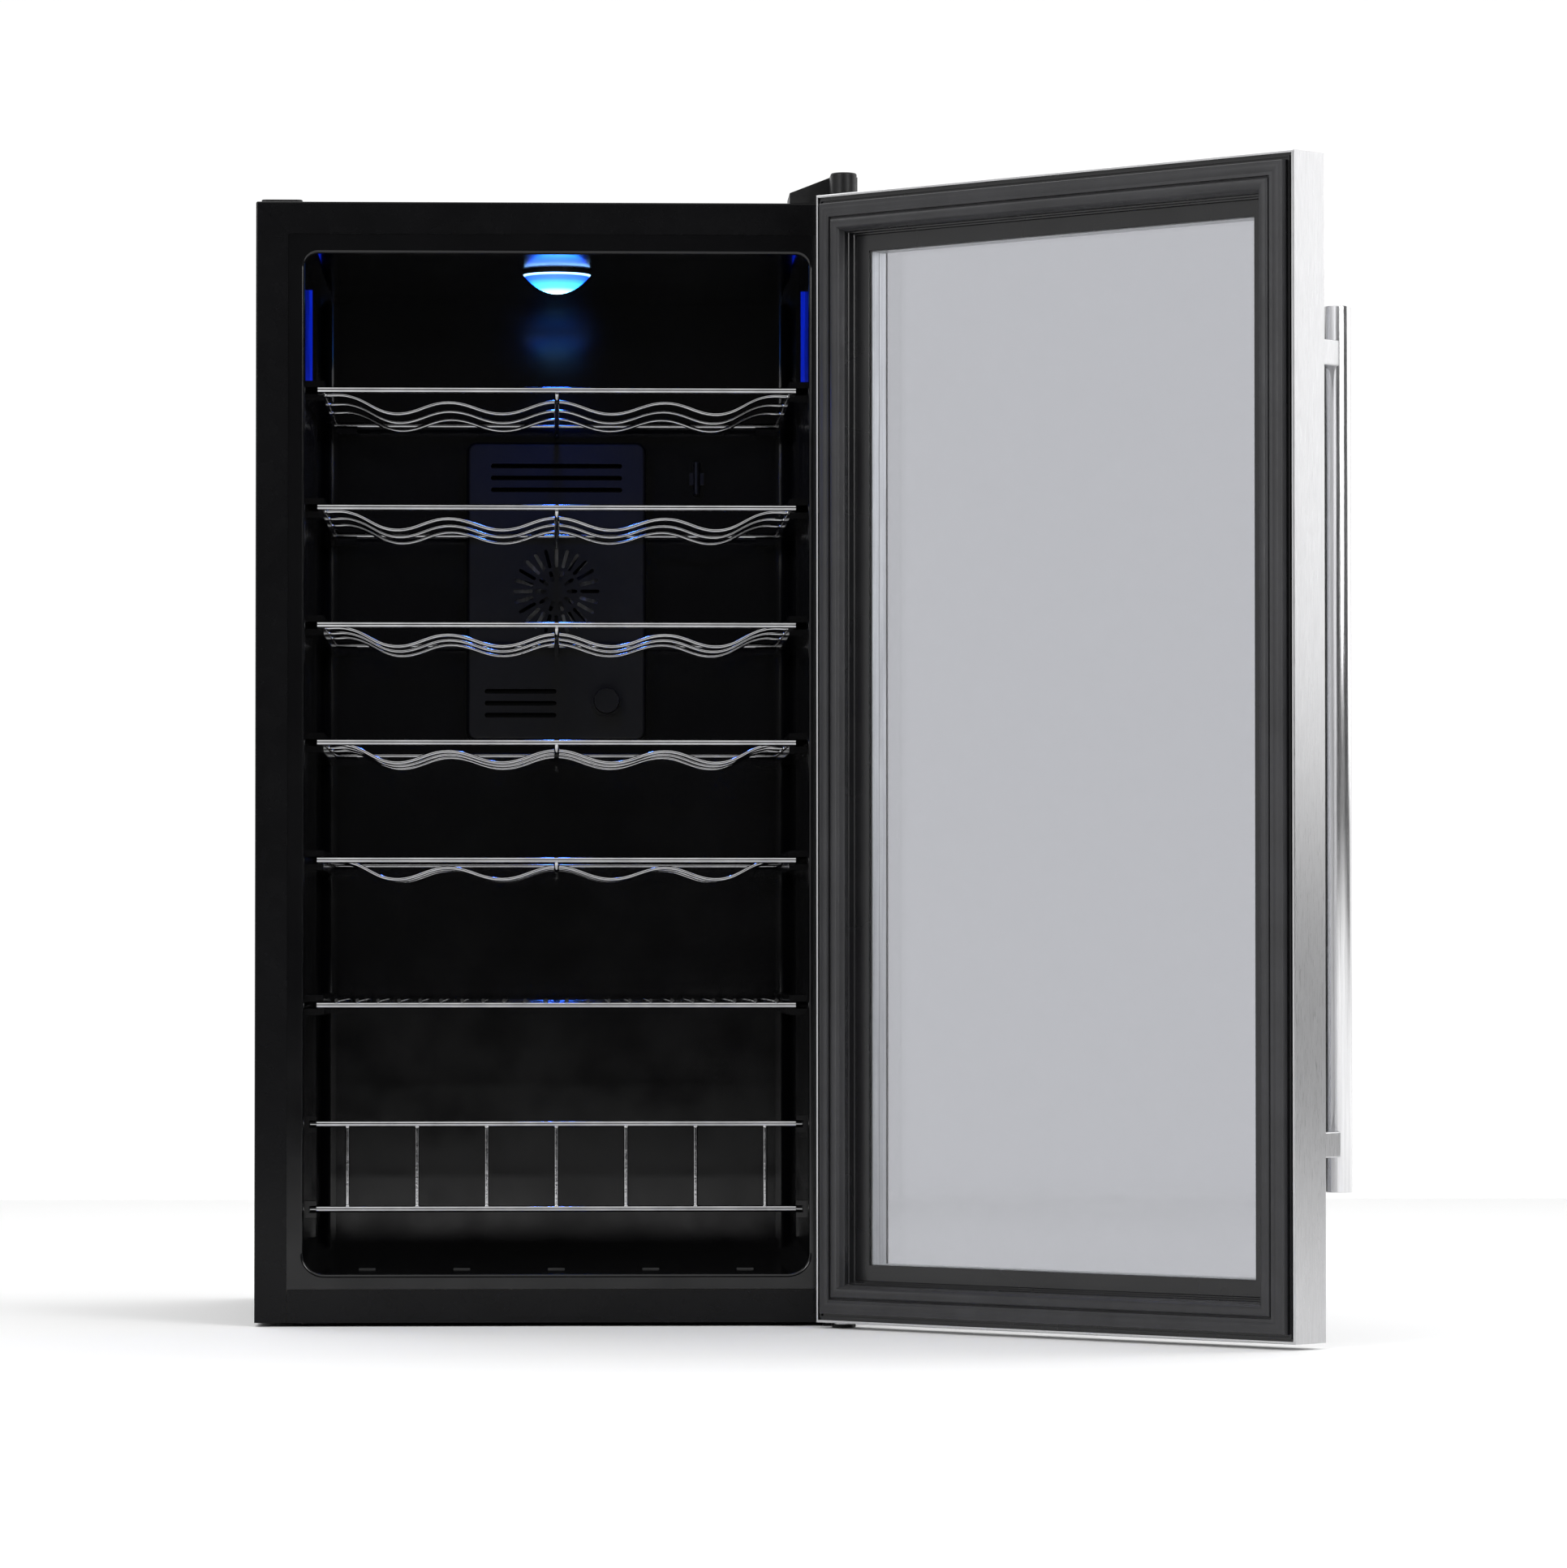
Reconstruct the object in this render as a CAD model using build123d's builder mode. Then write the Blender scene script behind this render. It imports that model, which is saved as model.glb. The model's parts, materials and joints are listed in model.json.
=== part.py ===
from build123d import *
import math
import os

# Free-standing thermoelectric wine cooler with a glass door, hung on the right and standing open.
# Millimetres. +X is to the right as you face the cooler, +Y runs to its back, +Z is up.
# The origin is on the floor, under the middle of the cabinet.
# The door is drawn shut, then swung open about its hinge pins, because it stands open at rest.

os.makedirs("parts", exist_ok=True)

# ---- Driving dimensions: cabinet ----
CABINET_WIDTH = 470.0
CABINET_DEPTH = 466.0
BODY_BOTTOM = 3.0  # underside of the base plate, on feet wound right in
BODY_TOP = 877.5
STEEL = 0.8  # sheet thickness of the case
FLANGE = 25.0  # front return of the case, all round the liner
HEM = 14.0  # rear return of the case, which the back panel is screwed to
BASE_SHEET = 1.2
KICK_TOP = 28.8
KICK_NOTCH = (70.0, 4.0)
EDGE_RADIUS = 1.5  # folded outer edges of the case

# ---- Driving dimensions: liner ----
OPENING_HALF = 196.7
OPENING_BOTTOM = 41.0
OPENING_TOP = 837.0
CAVITY_DEPTH = 430.0
LINER_WALL = 2.0
CORNER_TOP = 10.0
CORNER_BOTTOM = 16.0
CORNER_BACK = 12.0
RIM_RADIUS = 3.0

# ---- Driving dimensions: door ----
DOOR_BOTTOM = 4.5
DOOR_TOP = 880.0
DOOR_THICK = 37.0
DOOR_GAP = 8.0  # from the cabinet's face to the door's inner face, when it is shut
PIN_INSET = 12.0  # hinge pins in from the cabinet's side
PIN_DEPTH = 19.0  # hinge pins in front of the door's inner face
OPEN_ANGLE = 136.0
PIN_RADIUS = 4.0
RUNNING_CLEARANCE = 0.05
GLASS_THICK = 4.0
PANE_INSET = 37.0  # pane edges in from the door's outer edge
WINDOW_INSET = 45.5  # visible glass in from the door's outer edge
INNER_PANE_DEPTH = 12.0
OUTER_PANE_DEPTH = 32.0

# ---- Driving dimensions: handle ----
HANDLE_RADIUS = 10.0
HANDLE_LENGTH = 658.0
HANDLE_INSET = 23.0  # axis in from the door's free edge
HANDLE_STANDOFF = 45.0  # axis out from the door's outer face
HANDLE_WALL = 1.5
POST_FROM_END = 35.5
POST_WIDTH = 14.0
POST_HEIGHT = 19.0

# ---- Driving dimensions: shelves ----
WAVE_SHELF_HEIGHTS = (732.3, 640.1, 547.9, 455.7, 363.5)
FLAT_SHELF_HEIGHT = 249.9
SHELF_HALF = 187.5
SHELF_FRONT = 25.0  # front bar behind the cabinet's face
SHELF_LENGTH = 372.0  # front bar to rear bar
FRAME_ROD = 2.5  # radius
SIDE_ROD = 2.2
WAVE_ROD = 1.6  # radius
WAVE_SETBACKS = (55.0, 147.0, 233.0)
BOTTLE_PITCH = 86.0
SIDE_ROD_X = 185.0
SLOT_PLAY = 0.3
FENCE_HEIGHTS = (157.0, 90.5)
FENCE_SETBACK = 27.0

# ---- Driving dimensions: cooling unit ----
UNIT_HEIGHT = 594.0  # centre of the fans, the heat sinks and the thermoelectric module
MODULE_SIZE = 40.0
PASSAGE_SIZE = 44.0
FAN_SIZE = 80.0
DUCT_DEPTH = 28.0
DUCT_WIDTH = 150.0
DUCT_HEIGHT = 250.0
REAR_COVER_DEPTH = 43.0
REAR_COVER_WIDTH = 300.0
REAR_COVER_HEIGHT = 420.0
KNOB_PLACE = (42.0, 502.0)
INLET_PLACE = (100.0, 422.0)

# ---- Worked out from the driving dimensions ----
FRONT_Y = -CABINET_DEPTH / 2
BACK_Y = CABINET_DEPTH / 2
HALF_WIDTH = CABINET_WIDTH / 2
BODY_HEIGHT = BODY_TOP - BODY_BOTTOM
LINER_FACE_Y = FRONT_Y + STEEL
CAVITY_BACK_Y = FRONT_Y + CAVITY_DEPTH
OPENING_MID = (OPENING_TOP + OPENING_BOTTOM) / 2
PANEL_FACE_Y = BACK_Y + STEEL
DOOR_FACE_Y = FRONT_Y - DOOR_GAP
HINGE_X = HALF_WIDTH - PIN_INSET
HINGE_Y = DOOR_FACE_Y - PIN_DEPTH
DOOR_MID = (DOOR_TOP + DOOR_BOTTOM) / 2
HANDLE_X = -HALF_WIDTH + HANDLE_INSET
HANDLE_Y = DOOR_FACE_Y - DOOR_THICK - HANDLE_STANDOFF
POST_SPAN = HANDLE_LENGTH - 2 * POST_FROM_END
SHELF_FRONT_Y = FRONT_Y + SHELF_FRONT
SHELF_BACK_Y = SHELF_FRONT_Y + SHELF_LENGTH
FENCE_Y = FRONT_Y + FENCE_SETBACK
HINGE_AXIS = Axis((HINGE_X, HINGE_Y, 0), (0, 0, 1))


def keep(part, name):
    """Label a finished piece and write it."""
    part.label = name
    export_step(part, f"parts/{name}.step")


def keep_on_door(part, name):
    """Write a piece of the door where it lies with the door standing open."""
    keep(part.rotate(HINGE_AXIS, OPEN_ANGLE), name)


def facing(y):
    """An upright plane at y that faces the front, with X to the right and Z up."""
    return Plane.XZ.offset(-y)


def rod(start, end, radius):
    """A straight round rod in the part being built, from one point to another."""
    with BuildLine() as run:
        Line(start, end)
    with BuildSketch(Plane(origin=start, z_dir=run.line % 0)) as profile:
        Circle(radius)
    sweep(sections=profile.sketch, path=run.line)


def bent_rod(points, bends, radius):
    """A round rod in the part being built, along straight runs joined by bends of the given radii."""
    with BuildLine() as run:
        FilletPolyline(*points, radius=bends)
    with BuildSketch(Plane(origin=run.line @ 0, z_dir=run.line % 0)) as profile:
        Circle(radius)
    sweep(sections=profile.sketch, path=run.wire())


# ======================= Case =======================

# Side and top sheets in one piece, with a return round the front and a hem round the back.
WINDOW_TOP = BODY_TOP - FLANGE
PANEL_SCREW_X = HALF_WIDTH - HEM / 2
PANEL_SCREW_Z = (60.0, 310.0, 570.0, 820.0)
PANEL_SCREWS = [(side * PANEL_SCREW_X, z) for side in (-1, 1) for z in PANEL_SCREW_Z]
PANEL_SCREW_RADIUS = 1.75
COVER_TAB = 12.0
COVER_SCREW_X = REAR_COVER_WIDTH / 2 + COVER_TAB / 2
COVER_SCREW_Z = REAR_COVER_HEIGHT / 2 - 30.0
COVER_SCREWS = [(sx * COVER_SCREW_X, UNIT_HEIGHT + sz * COVER_SCREW_Z) for sx in (-1, 1) for sz in (-1, 1)]
HINGE_HOLES = ((206.0, FRONT_Y + 22.0), (224.0, FRONT_Y + 22.0), (215.0, FRONT_Y + 46.0))
HINGE_HOLE_RADIUS = 2.5
with BuildPart() as outer_wrap:
    with BuildSketch(Plane.XY.offset(BODY_BOTTOM)):
        Rectangle(CABINET_WIDTH, CABINET_DEPTH)
    extrude(amount=BODY_HEIGHT)
    fillet(outer_wrap.edges().filter_by(Axis.Z) + outer_wrap.faces().sort_by(Axis.Z)[-1].edges(), EDGE_RADIUS)
    with BuildSketch(Plane.XY.offset(BODY_BOTTOM)):
        Rectangle(CABINET_WIDTH - 2 * STEEL, CABINET_DEPTH - 2 * STEEL)
    extrude(amount=BODY_HEIGHT - STEEL, mode=Mode.SUBTRACT)
    with BuildSketch(facing(FRONT_Y)):
        with Locations((0, WINDOW_TOP / 2)):
            Rectangle(CABINET_WIDTH - 2 * FLANGE, WINDOW_TOP)
    extrude(amount=-STEEL, mode=Mode.SUBTRACT)
    with BuildSketch(facing(BACK_Y)):
        with Locations((0, (BODY_TOP - HEM) / 2)):
            Rectangle(CABINET_WIDTH - 2 * HEM, BODY_TOP - HEM)
    extrude(amount=STEEL, mode=Mode.SUBTRACT)
    # mitre joints across the front return
    for side in (-1, 1):
        with BuildSketch(facing(FRONT_Y)):
            with Locations((side * (HALF_WIDTH - FLANGE / 2), BODY_TOP - FLANGE / 2)):
                Rectangle(FLANGE * 1.2, 0.6, rotation=side * 45)
        extrude(amount=-0.3, mode=Mode.SUBTRACT)
    with BuildSketch(facing(BACK_Y)):
        with Locations(*PANEL_SCREWS):
            Circle(PANEL_SCREW_RADIUS)
    extrude(amount=STEEL, mode=Mode.SUBTRACT)
    # hinge screw holes on the right and, for a door hung the other way, on the left
    with BuildSketch(Plane.XY.offset(BODY_TOP)):
        with Locations(*[(side * x, y) for x, y in HINGE_HOLES for side in (-1, 1)]):
            Circle(HINGE_HOLE_RADIUS)
    extrude(amount=-STEEL, mode=Mode.SUBTRACT)
keep(outer_wrap.part, "outer_wrap")

# Cross strip under the liner, with a small notch in the middle of its lower edge.
KICK_HALF = HALF_WIDTH - FLANGE - 0.2
with BuildPart() as kick_strip:
    with BuildSketch(facing(FRONT_Y)):
        with Locations((0, (BODY_BOTTOM + KICK_TOP) / 2)):
            Rectangle(2 * KICK_HALF, KICK_TOP - BODY_BOTTOM)
        with Locations((0, BODY_BOTTOM + KICK_NOTCH[1] / 2)):
            Rectangle(*KICK_NOTCH, mode=Mode.SUBTRACT)
    extrude(amount=-STEEL)
    with Locations((0, FRONT_Y + 1.4, KICK_TOP - STEEL / 2)):
        Box(2 * KICK_HALF, 2.6, STEEL)
keep(kick_strip.part, "kick_strip")

# Floor pan with a threaded boss for each front foot, and a front lip that closes the kick strip's notch.
FOOT_X = 185.0
FRONT_FOOT_Y = FRONT_Y + 38.0
REAR_FOOT_Y = BACK_Y - 35.0
BASE_TOP = BODY_BOTTOM + BASE_SHEET
BOSS_HEIGHT = 10.0
LIP_TOP = 14.0
BASE_SCREWS = ((220.0, FRONT_Y + 20.0), (220.0, FRONT_Y + 50.0))
with BuildPart() as base_plate:
    with BuildSketch(Plane.XY.offset(BODY_BOTTOM)):
        with Locations((0, STEEL / 2)):
            Rectangle(CABINET_WIDTH - 2 * STEEL, CABINET_DEPTH - 2 * STEEL - STEEL)
    extrude(amount=BASE_SHEET)
    with BuildSketch(Plane.XY.offset(BASE_TOP)):
        with Locations((-FOOT_X, FRONT_FOOT_Y), (FOOT_X, FRONT_FOOT_Y)):
            Circle(8)
    extrude(amount=BOSS_HEIGHT)
    with BuildSketch(facing(FRONT_Y + STEEL)):
        with Locations((0, (BODY_BOTTOM + LIP_TOP) / 2)):
            Rectangle(2 * KICK_HALF, LIP_TOP - BODY_BOTTOM)
    extrude(amount=-BASE_SHEET)
    with BuildSketch(Plane.XY.offset(BODY_BOTTOM)):
        with Locations((-FOOT_X, FRONT_FOOT_Y), (FOOT_X, FRONT_FOOT_Y)):
            Circle(4 + RUNNING_CLEARANCE)
        with Locations(*BASE_SCREWS):
            Circle(HINGE_HOLE_RADIUS)
    extrude(amount=BASE_SHEET + BOSS_HEIGHT, mode=Mode.SUBTRACT)
keep(base_plate.part, "base_plate")

# ======================= Liner and insulation =======================


def tub(grow):
    """The space inside the liner, or with grow the liner's outer shape: rounded in front view and in plan."""
    back = CAVITY_BACK_Y + grow
    with BuildPart() as space:
        with BuildSketch(facing(LINER_FACE_Y)) as outline:
            with Locations((0, OPENING_MID)):
                Rectangle(2 * (OPENING_HALF + grow), OPENING_TOP - OPENING_BOTTOM + 2 * grow)
            fillet(outline.vertices().group_by(Axis.Y)[-1], CORNER_TOP + grow)
            fillet(outline.vertices().group_by(Axis.Y)[0], CORNER_BOTTOM + grow)
        extrude(amount=-(back - LINER_FACE_Y))
        with BuildSketch(Plane.XY) as plan:
            with Locations((0, (back + FRONT_Y) / 2)):
                Rectangle(2 * (OPENING_HALF + grow), back - FRONT_Y)
            fillet(plan.vertices().group_by(Axis.Y)[-1], CORNER_BACK + grow)
        extrude(amount=BODY_TOP, mode=Mode.INTERSECT)
    return space.part


cavity = tub(0)
tub_outside = tub(LINER_WALL)

RAIL_PROUD = 14.0
RAIL_THICK = 5.0
RAIL_FRONT_Y = FRONT_Y + 34.0
RAIL_BACK_Y = CAVITY_BACK_Y - 4.0
LEDGE_X = 166.7  # inner end of the ledge in each back corner, under a shelf's rear bar
FLOOR_PADS_X = (-148.0, -74.0, 0.0, 74.0, 148.0)
LUG_INNER_X = 187.7
BITE = 1.0  # how far a moulded detail runs into the wall that it grows from
with BuildPart() as liner_shell:
    add(tub_outside)
    with BuildSketch(facing(LINER_FACE_Y)):
        with Locations((0, (KICK_TOP + BODY_TOP - 15.0) / 2 + 0.1)):
            Rectangle(CABINET_WIDTH - 30.0, BODY_TOP - 15.0 - KICK_TOP - 0.2)
    extrude(amount=-LINER_WALL)
    add(cavity, mode=Mode.SUBTRACT)
    # the rim of the opening is softly rounded
    rim = liner_shell.edges().filter_by_position(Axis.Y, LINER_FACE_Y - 0.01, LINER_FACE_Y + 0.01)
    rim = rim.filter_by(lambda e: abs(e.center().X) < OPENING_HALF + 1 and abs(e.center().Z - OPENING_MID) < 399)
    fillet(rim, RIM_RADIUS)

with BuildPart() as liner:
    # side rails: each shelf slides in the groove between a lower and an upper rib
    for height in (*WAVE_SHELF_HEIGHTS, FLAT_SHELF_HEIGHT):
        groove = FRAME_ROD + SLOT_PLAY
        for side in (-1, 1):
            rail_x = side * (OPENING_HALF - RAIL_PROUD / 2 + BITE / 2)
            rail_y = (RAIL_FRONT_Y + RAIL_BACK_Y) / 2
            for rib in (-1, 1):
                with Locations((rail_x, rail_y, height + rib * (groove + RAIL_THICK / 2))):
                    Box(RAIL_PROUD + BITE, RAIL_BACK_Y - RAIL_FRONT_Y, RAIL_THICK)
            ledge_x = side * (LEDGE_X + OPENING_HALF + BITE) / 2
            ledge_y = CAVITY_BACK_Y - 20.0 + BITE / 2
            with Locations((ledge_x, ledge_y, height - groove - RAIL_THICK / 2)):
                Box(OPENING_HALF - LEDGE_X + BITE, 40.0 + BITE, RAIL_THICK)
    # a low upright ridge stiffens the middle of each side wall
    for side in (-1, 1):
        with Locations((side * (OPENING_HALF - 0.5), FRONT_Y + 226.0, OPENING_MID)):
            Box(3.0, 10.0, OPENING_TOP - OPENING_BOTTOM - 40.0)
    # pads on the floor, under bottles that lie or stand there
    with Locations(*[(x, FRONT_Y + 121.0, OPENING_BOTTOM + 1.0) for x in FLOOR_PADS_X]):
        Box(13.0, 178.0, 4.0)
    # lugs that hold the ends of the guard rail's bars, each with a slot open to the front
    for height in FENCE_HEIGHTS:
        for side in (-1, 1):
            lug_x = side * (LUG_INNER_X + OPENING_HALF + BITE) / 2
            with Locations((lug_x, FENCE_Y, height)):
                Box(OPENING_HALF - LUG_INNER_X + BITE, 14.0, 13.0)
            slot_back_y = FENCE_Y + FRAME_ROD + SLOT_PLAY
            with Locations((side * (LUG_INNER_X + 2.4), slot_back_y - 6.0, height)):
                Box(6.2, 12.0, 2 * (FRAME_ROD + SLOT_PLAY), mode=Mode.SUBTRACT)
    # the details keep within the walls, also where the back corners are rounded
    add(tub_outside, mode=Mode.INTERSECT)
    add(liner_shell.part)
    # passage for the conduction block
    with Locations((0, CAVITY_BACK_Y, UNIT_HEIGHT)):
        Box(PASSAGE_SIZE, 3 * LINER_WALL, PASSAGE_SIZE, mode=Mode.SUBTRACT)
keep(liner.part, "liner")

# Foamed-in insulation between the case and the liner.
FOAM_FRONT_Y = LINER_FACE_Y + LINER_WALL
FOAM_BACK_Y = BACK_Y - STEEL
FOAM_BOTTOM = BASE_TOP + 0.1
FOAM_TOP = BODY_TOP - STEEL
with BuildPart() as insulation_foam:
    with BuildSketch(Plane.XY.offset(FOAM_BOTTOM)):
        with Locations((0, (FOAM_FRONT_Y + FOAM_BACK_Y) / 2)):
            Rectangle(CABINET_WIDTH - 2 * STEEL, FOAM_BACK_Y - FOAM_FRONT_Y)
    extrude(amount=FOAM_TOP - FOAM_BOTTOM)
    add(tub_outside, mode=Mode.SUBTRACT)
    with Locations((0, CAVITY_BACK_Y + 20.0, UNIT_HEIGHT)):
        Box(PASSAGE_SIZE, 60.0, PASSAGE_SIZE, mode=Mode.SUBTRACT)
    # pockets over the front feet, the lower hinge screws and both sets of upper hinge screws
    with BuildSketch(Plane.XY.offset(FOAM_BOTTOM)):
        with Locations((-FOOT_X, FRONT_FOOT_Y), (FOOT_X, FRONT_FOOT_Y)):
            Circle(9)
        with Locations(*BASE_SCREWS):
            Circle(4)
    extrude(amount=20.0, mode=Mode.SUBTRACT)
    with BuildSketch(Plane.XY.offset(FOAM_TOP)):
        with Locations(*[(side * x, y) for x, y in HINGE_HOLES for side in (-1, 1)]):
            Circle(4)
    extrude(amount=-12.0, mode=Mode.SUBTRACT)
    with BuildSketch(facing(FOAM_BACK_Y)):
        with Locations(*PANEL_SCREWS, *COVER_SCREWS):
            Circle(3)
    extrude(amount=12.0, mode=Mode.SUBTRACT)
keep(insulation_foam.part, "insulation_foam")

# ======================= Back =======================

BEAD_HEIGHTS = (90.0, 150.0, 210.0, 270.0, 330.0)
with BuildPart() as back_panel:
    with BuildSketch(facing(BACK_Y)):
        with Locations((0, (BODY_TOP + BODY_BOTTOM) / 2)):
            RectangleRounded(CABINET_WIDTH - 2.0, BODY_HEIGHT - 2.0, 2.0)
        with Locations((0, UNIT_HEIGHT)):
            Rectangle(PASSAGE_SIZE, PASSAGE_SIZE, mode=Mode.SUBTRACT)
        with Locations(*PANEL_SCREWS, *COVER_SCREWS):
            Circle(PANEL_SCREW_RADIUS, mode=Mode.SUBTRACT)
    extrude(amount=-STEEL)
    # pressed stiffening beads below the cooling unit
    with BuildSketch(facing(PANEL_FACE_Y)):
        with Locations(*[(0, height) for height in BEAD_HEIGHTS]):
            SlotOverall(380.0, 10.0)
    extrude(amount=-1.6)
    fillet(back_panel.faces().sort_by(Axis.Y)[-len(BEAD_HEIGHTS):].edges(), 1.0)
keep(back_panel.part, "back_panel")

SINK_BASE = 5.0
FIN = 1.2
HOT_SINK_SIZE = 130.0
HOT_FIN_DEPTH = 18.0
HOT_FIN_COUNT = 21
HOT_FAN_DEPTH = 15.0
HOT_FAN_Y = PANEL_FACE_Y + SINK_BASE + HOT_FIN_DEPTH + 0.5
with BuildPart() as hot_sink:
    with BuildSketch(facing(PANEL_FACE_Y)):
        with Locations((0, UNIT_HEIGHT)):
            Rectangle(HOT_SINK_SIZE, HOT_SINK_SIZE)
    extrude(amount=-SINK_BASE)
    with BuildSketch(facing(PANEL_FACE_Y + SINK_BASE)):
        with Locations((0, UNIT_HEIGHT)):
            with GridLocations((HOT_SINK_SIZE - FIN) / (HOT_FIN_COUNT - 1), 0, HOT_FIN_COUNT, 1):
                Rectangle(FIN, HOT_SINK_SIZE)
    extrude(amount=-HOT_FIN_DEPTH)
keep(hot_sink.part, "hot_sink")

MODULE_THICK = 3.8
with BuildPart() as peltier_module:
    with Locations((0, PANEL_FACE_Y - MODULE_THICK / 2, UNIT_HEIGHT)):
        Box(MODULE_SIZE, MODULE_THICK, MODULE_SIZE)
keep(peltier_module.part, "peltier_module")

BLOCK_BACK_Y = PANEL_FACE_Y - MODULE_THICK
with BuildPart() as conduction_block:
    with Locations((0, (CAVITY_BACK_Y + BLOCK_BACK_Y) / 2, UNIT_HEIGHT)):
        Box(MODULE_SIZE, BLOCK_BACK_Y - CAVITY_BACK_Y, MODULE_SIZE)
keep(conduction_block.part, "conduction_block")

COLD_SINK_BASE = 4.0
COLD_FIN_DEPTH = 11.0
COLD_FAN_DEPTH = 10.0
COLD_SINK_WIDTH = 100.0
COLD_SINK_HEIGHT = 120.0
COLD_FIN_COUNT = 17
with BuildPart() as cold_sink:
    with BuildSketch(facing(CAVITY_BACK_Y)):
        with Locations((0, UNIT_HEIGHT)):
            Rectangle(COLD_SINK_WIDTH, COLD_SINK_HEIGHT)
    extrude(amount=COLD_SINK_BASE)
    with BuildSketch(facing(CAVITY_BACK_Y - COLD_SINK_BASE)):
        with Locations((0, UNIT_HEIGHT)):
            with GridLocations((COLD_SINK_WIDTH - FIN) / (COLD_FIN_COUNT - 1), 0, COLD_FIN_COUNT, 1):
                Rectangle(FIN, COLD_SINK_HEIGHT)
    extrude(amount=COLD_FIN_DEPTH)
keep(cold_sink.part, "cold_sink")


def fan_frame(front, depth):
    """A square fan housing with its motor plate, three spokes and the axle."""
    with BuildPart() as housing:
        with BuildSketch(facing(front)):
            with Locations((0, UNIT_HEIGHT)):
                RectangleRounded(FAN_SIZE, FAN_SIZE, 4.0)
                Circle(FAN_SIZE / 2 - 1.5, mode=Mode.SUBTRACT)
                with GridLocations(FAN_SIZE - 8.5, FAN_SIZE - 8.5, 2, 2):
                    Circle(2.2, mode=Mode.SUBTRACT)
        extrude(amount=-depth)
        with BuildSketch(facing(front + depth - 1.6)):
            with Locations((0, UNIT_HEIGHT)):
                Circle(12.0)
                with PolarLocations(25.0, 3, start_angle=30):
                    Rectangle(30.0, 4.0)
        extrude(amount=-1.6)
        with BuildSketch(facing(front + depth - 1.6)):
            with Locations((0, UNIT_HEIGHT)):
                Circle(1.5)
        extrude(amount=depth - 4.0)
    return housing.part


def fan_rotor(front, depth):
    """Hub and seven pitched blades that spin inside a fan housing."""
    pitch = 35
    hub_length = depth - 3.8
    middle = front + 1.0 + hub_length / 2
    chord = (hub_length - 1.4) / math.sin(math.radians(pitch))
    with BuildPart() as rotor:
        with BuildSketch(facing(front + 1.0)):
            with Locations((0, UNIT_HEIGHT)):
                Circle(13.0)
        extrude(amount=-hub_length)
        for blade in range(7):
            turn = math.radians(360 / 7 * blade)
            out = Vector(math.cos(turn), 0, math.sin(turn))
            root = Vector(0, middle, UNIT_HEIGHT) + out * 12.0
            with BuildSketch(Plane(origin=root, x_dir=out.cross(Vector(0, 1, 0)), z_dir=out)):
                Rectangle(chord, 1.2, rotation=pitch)
            extrude(amount=25.0)
        with BuildSketch(facing(front)):
            with Locations((0, UNIT_HEIGHT)):
                Circle(1.5 + RUNNING_CLEARANCE)
        extrude(amount=-depth, mode=Mode.SUBTRACT)
    return rotor.part


def fan_grille_slots():
    """Two rings of radial slots in front of a fan, in the sketch being built."""
    with Locations((0, UNIT_HEIGHT)):
        with PolarLocations(28.0, 24):
            SlotOverall(16.0, 3.0)
        with PolarLocations(13.0, 10):
            SlotOverall(9.0, 3.0)


COLD_FAN_Y = CAVITY_BACK_Y - COLD_SINK_BASE - COLD_FIN_DEPTH - 0.5 - COLD_FAN_DEPTH
keep(fan_frame(COLD_FAN_Y, COLD_FAN_DEPTH), "cold_fan_frame")
keep(fan_rotor(COLD_FAN_Y, COLD_FAN_DEPTH), "cold_fan_rotor")
keep(fan_frame(HOT_FAN_Y, HOT_FAN_DEPTH), "hot_fan_frame")
keep(fan_rotor(HOT_FAN_Y, HOT_FAN_DEPTH), "hot_fan_rotor")

# Cover over the cold sink and its fan, on the liner's back wall.
DUCT_FRONT_Y = CAVITY_BACK_Y - DUCT_DEPTH
KNOB_SHAFT = 3.0
with BuildPart() as air_duct_cover:
    with BuildSketch(facing(DUCT_FRONT_Y)):
        with Locations((0, UNIT_HEIGHT)):
            RectangleRounded(DUCT_WIDTH, DUCT_HEIGHT, 8.0)
    extrude(amount=-DUCT_DEPTH)
    fillet(air_duct_cover.faces().sort_by(Axis.Y)[0].edges(), 3.0)
    with BuildSketch(facing(CAVITY_BACK_Y)):
        with Locations((0, UNIT_HEIGHT)):
            RectangleRounded(DUCT_WIDTH - 4.0, DUCT_HEIGHT - 4.0, 6.0)
    extrude(amount=DUCT_DEPTH - 2.0, mode=Mode.SUBTRACT)
    with BuildSketch(facing(DUCT_FRONT_Y)):
        fan_grille_slots()
        with Locations(*[(0, UNIT_HEIGHT + rise) for rise in (85, 95, 105)]):
            SlotOverall(110.0, 4.0)
        with Locations(*[(-30, KNOB_PLACE[1] + rise) for rise in (8, -2, -12)]):
            SlotOverall(60.0, 4.0)
        with Locations(KNOB_PLACE):
            Circle(KNOB_SHAFT + 0.5)
    extrude(amount=-2.0, mode=Mode.SUBTRACT)
keep(air_duct_cover.part, "air_duct_cover")

# Rotary thermostat behind the cover, and its knob in front.
SWITCH_FRONT_Y = DUCT_FRONT_Y + 2.5
KNOB_BACK_Y = DUCT_FRONT_Y - 0.6
with BuildPart() as thermostat_switch:
    with BuildSketch(facing(SWITCH_FRONT_Y)):
        with Locations(KNOB_PLACE):
            RectangleRounded(26.0, 26.0, 3.0)
    extrude(amount=-(CAVITY_BACK_Y - SWITCH_FRONT_Y))
    with BuildSketch(facing(SWITCH_FRONT_Y)):
        with Locations(KNOB_PLACE):
            Circle(KNOB_SHAFT + RUNNING_CLEARANCE)
    extrude(amount=-10.0, mode=Mode.SUBTRACT)
keep(thermostat_switch.part, "thermostat_switch")

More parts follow.
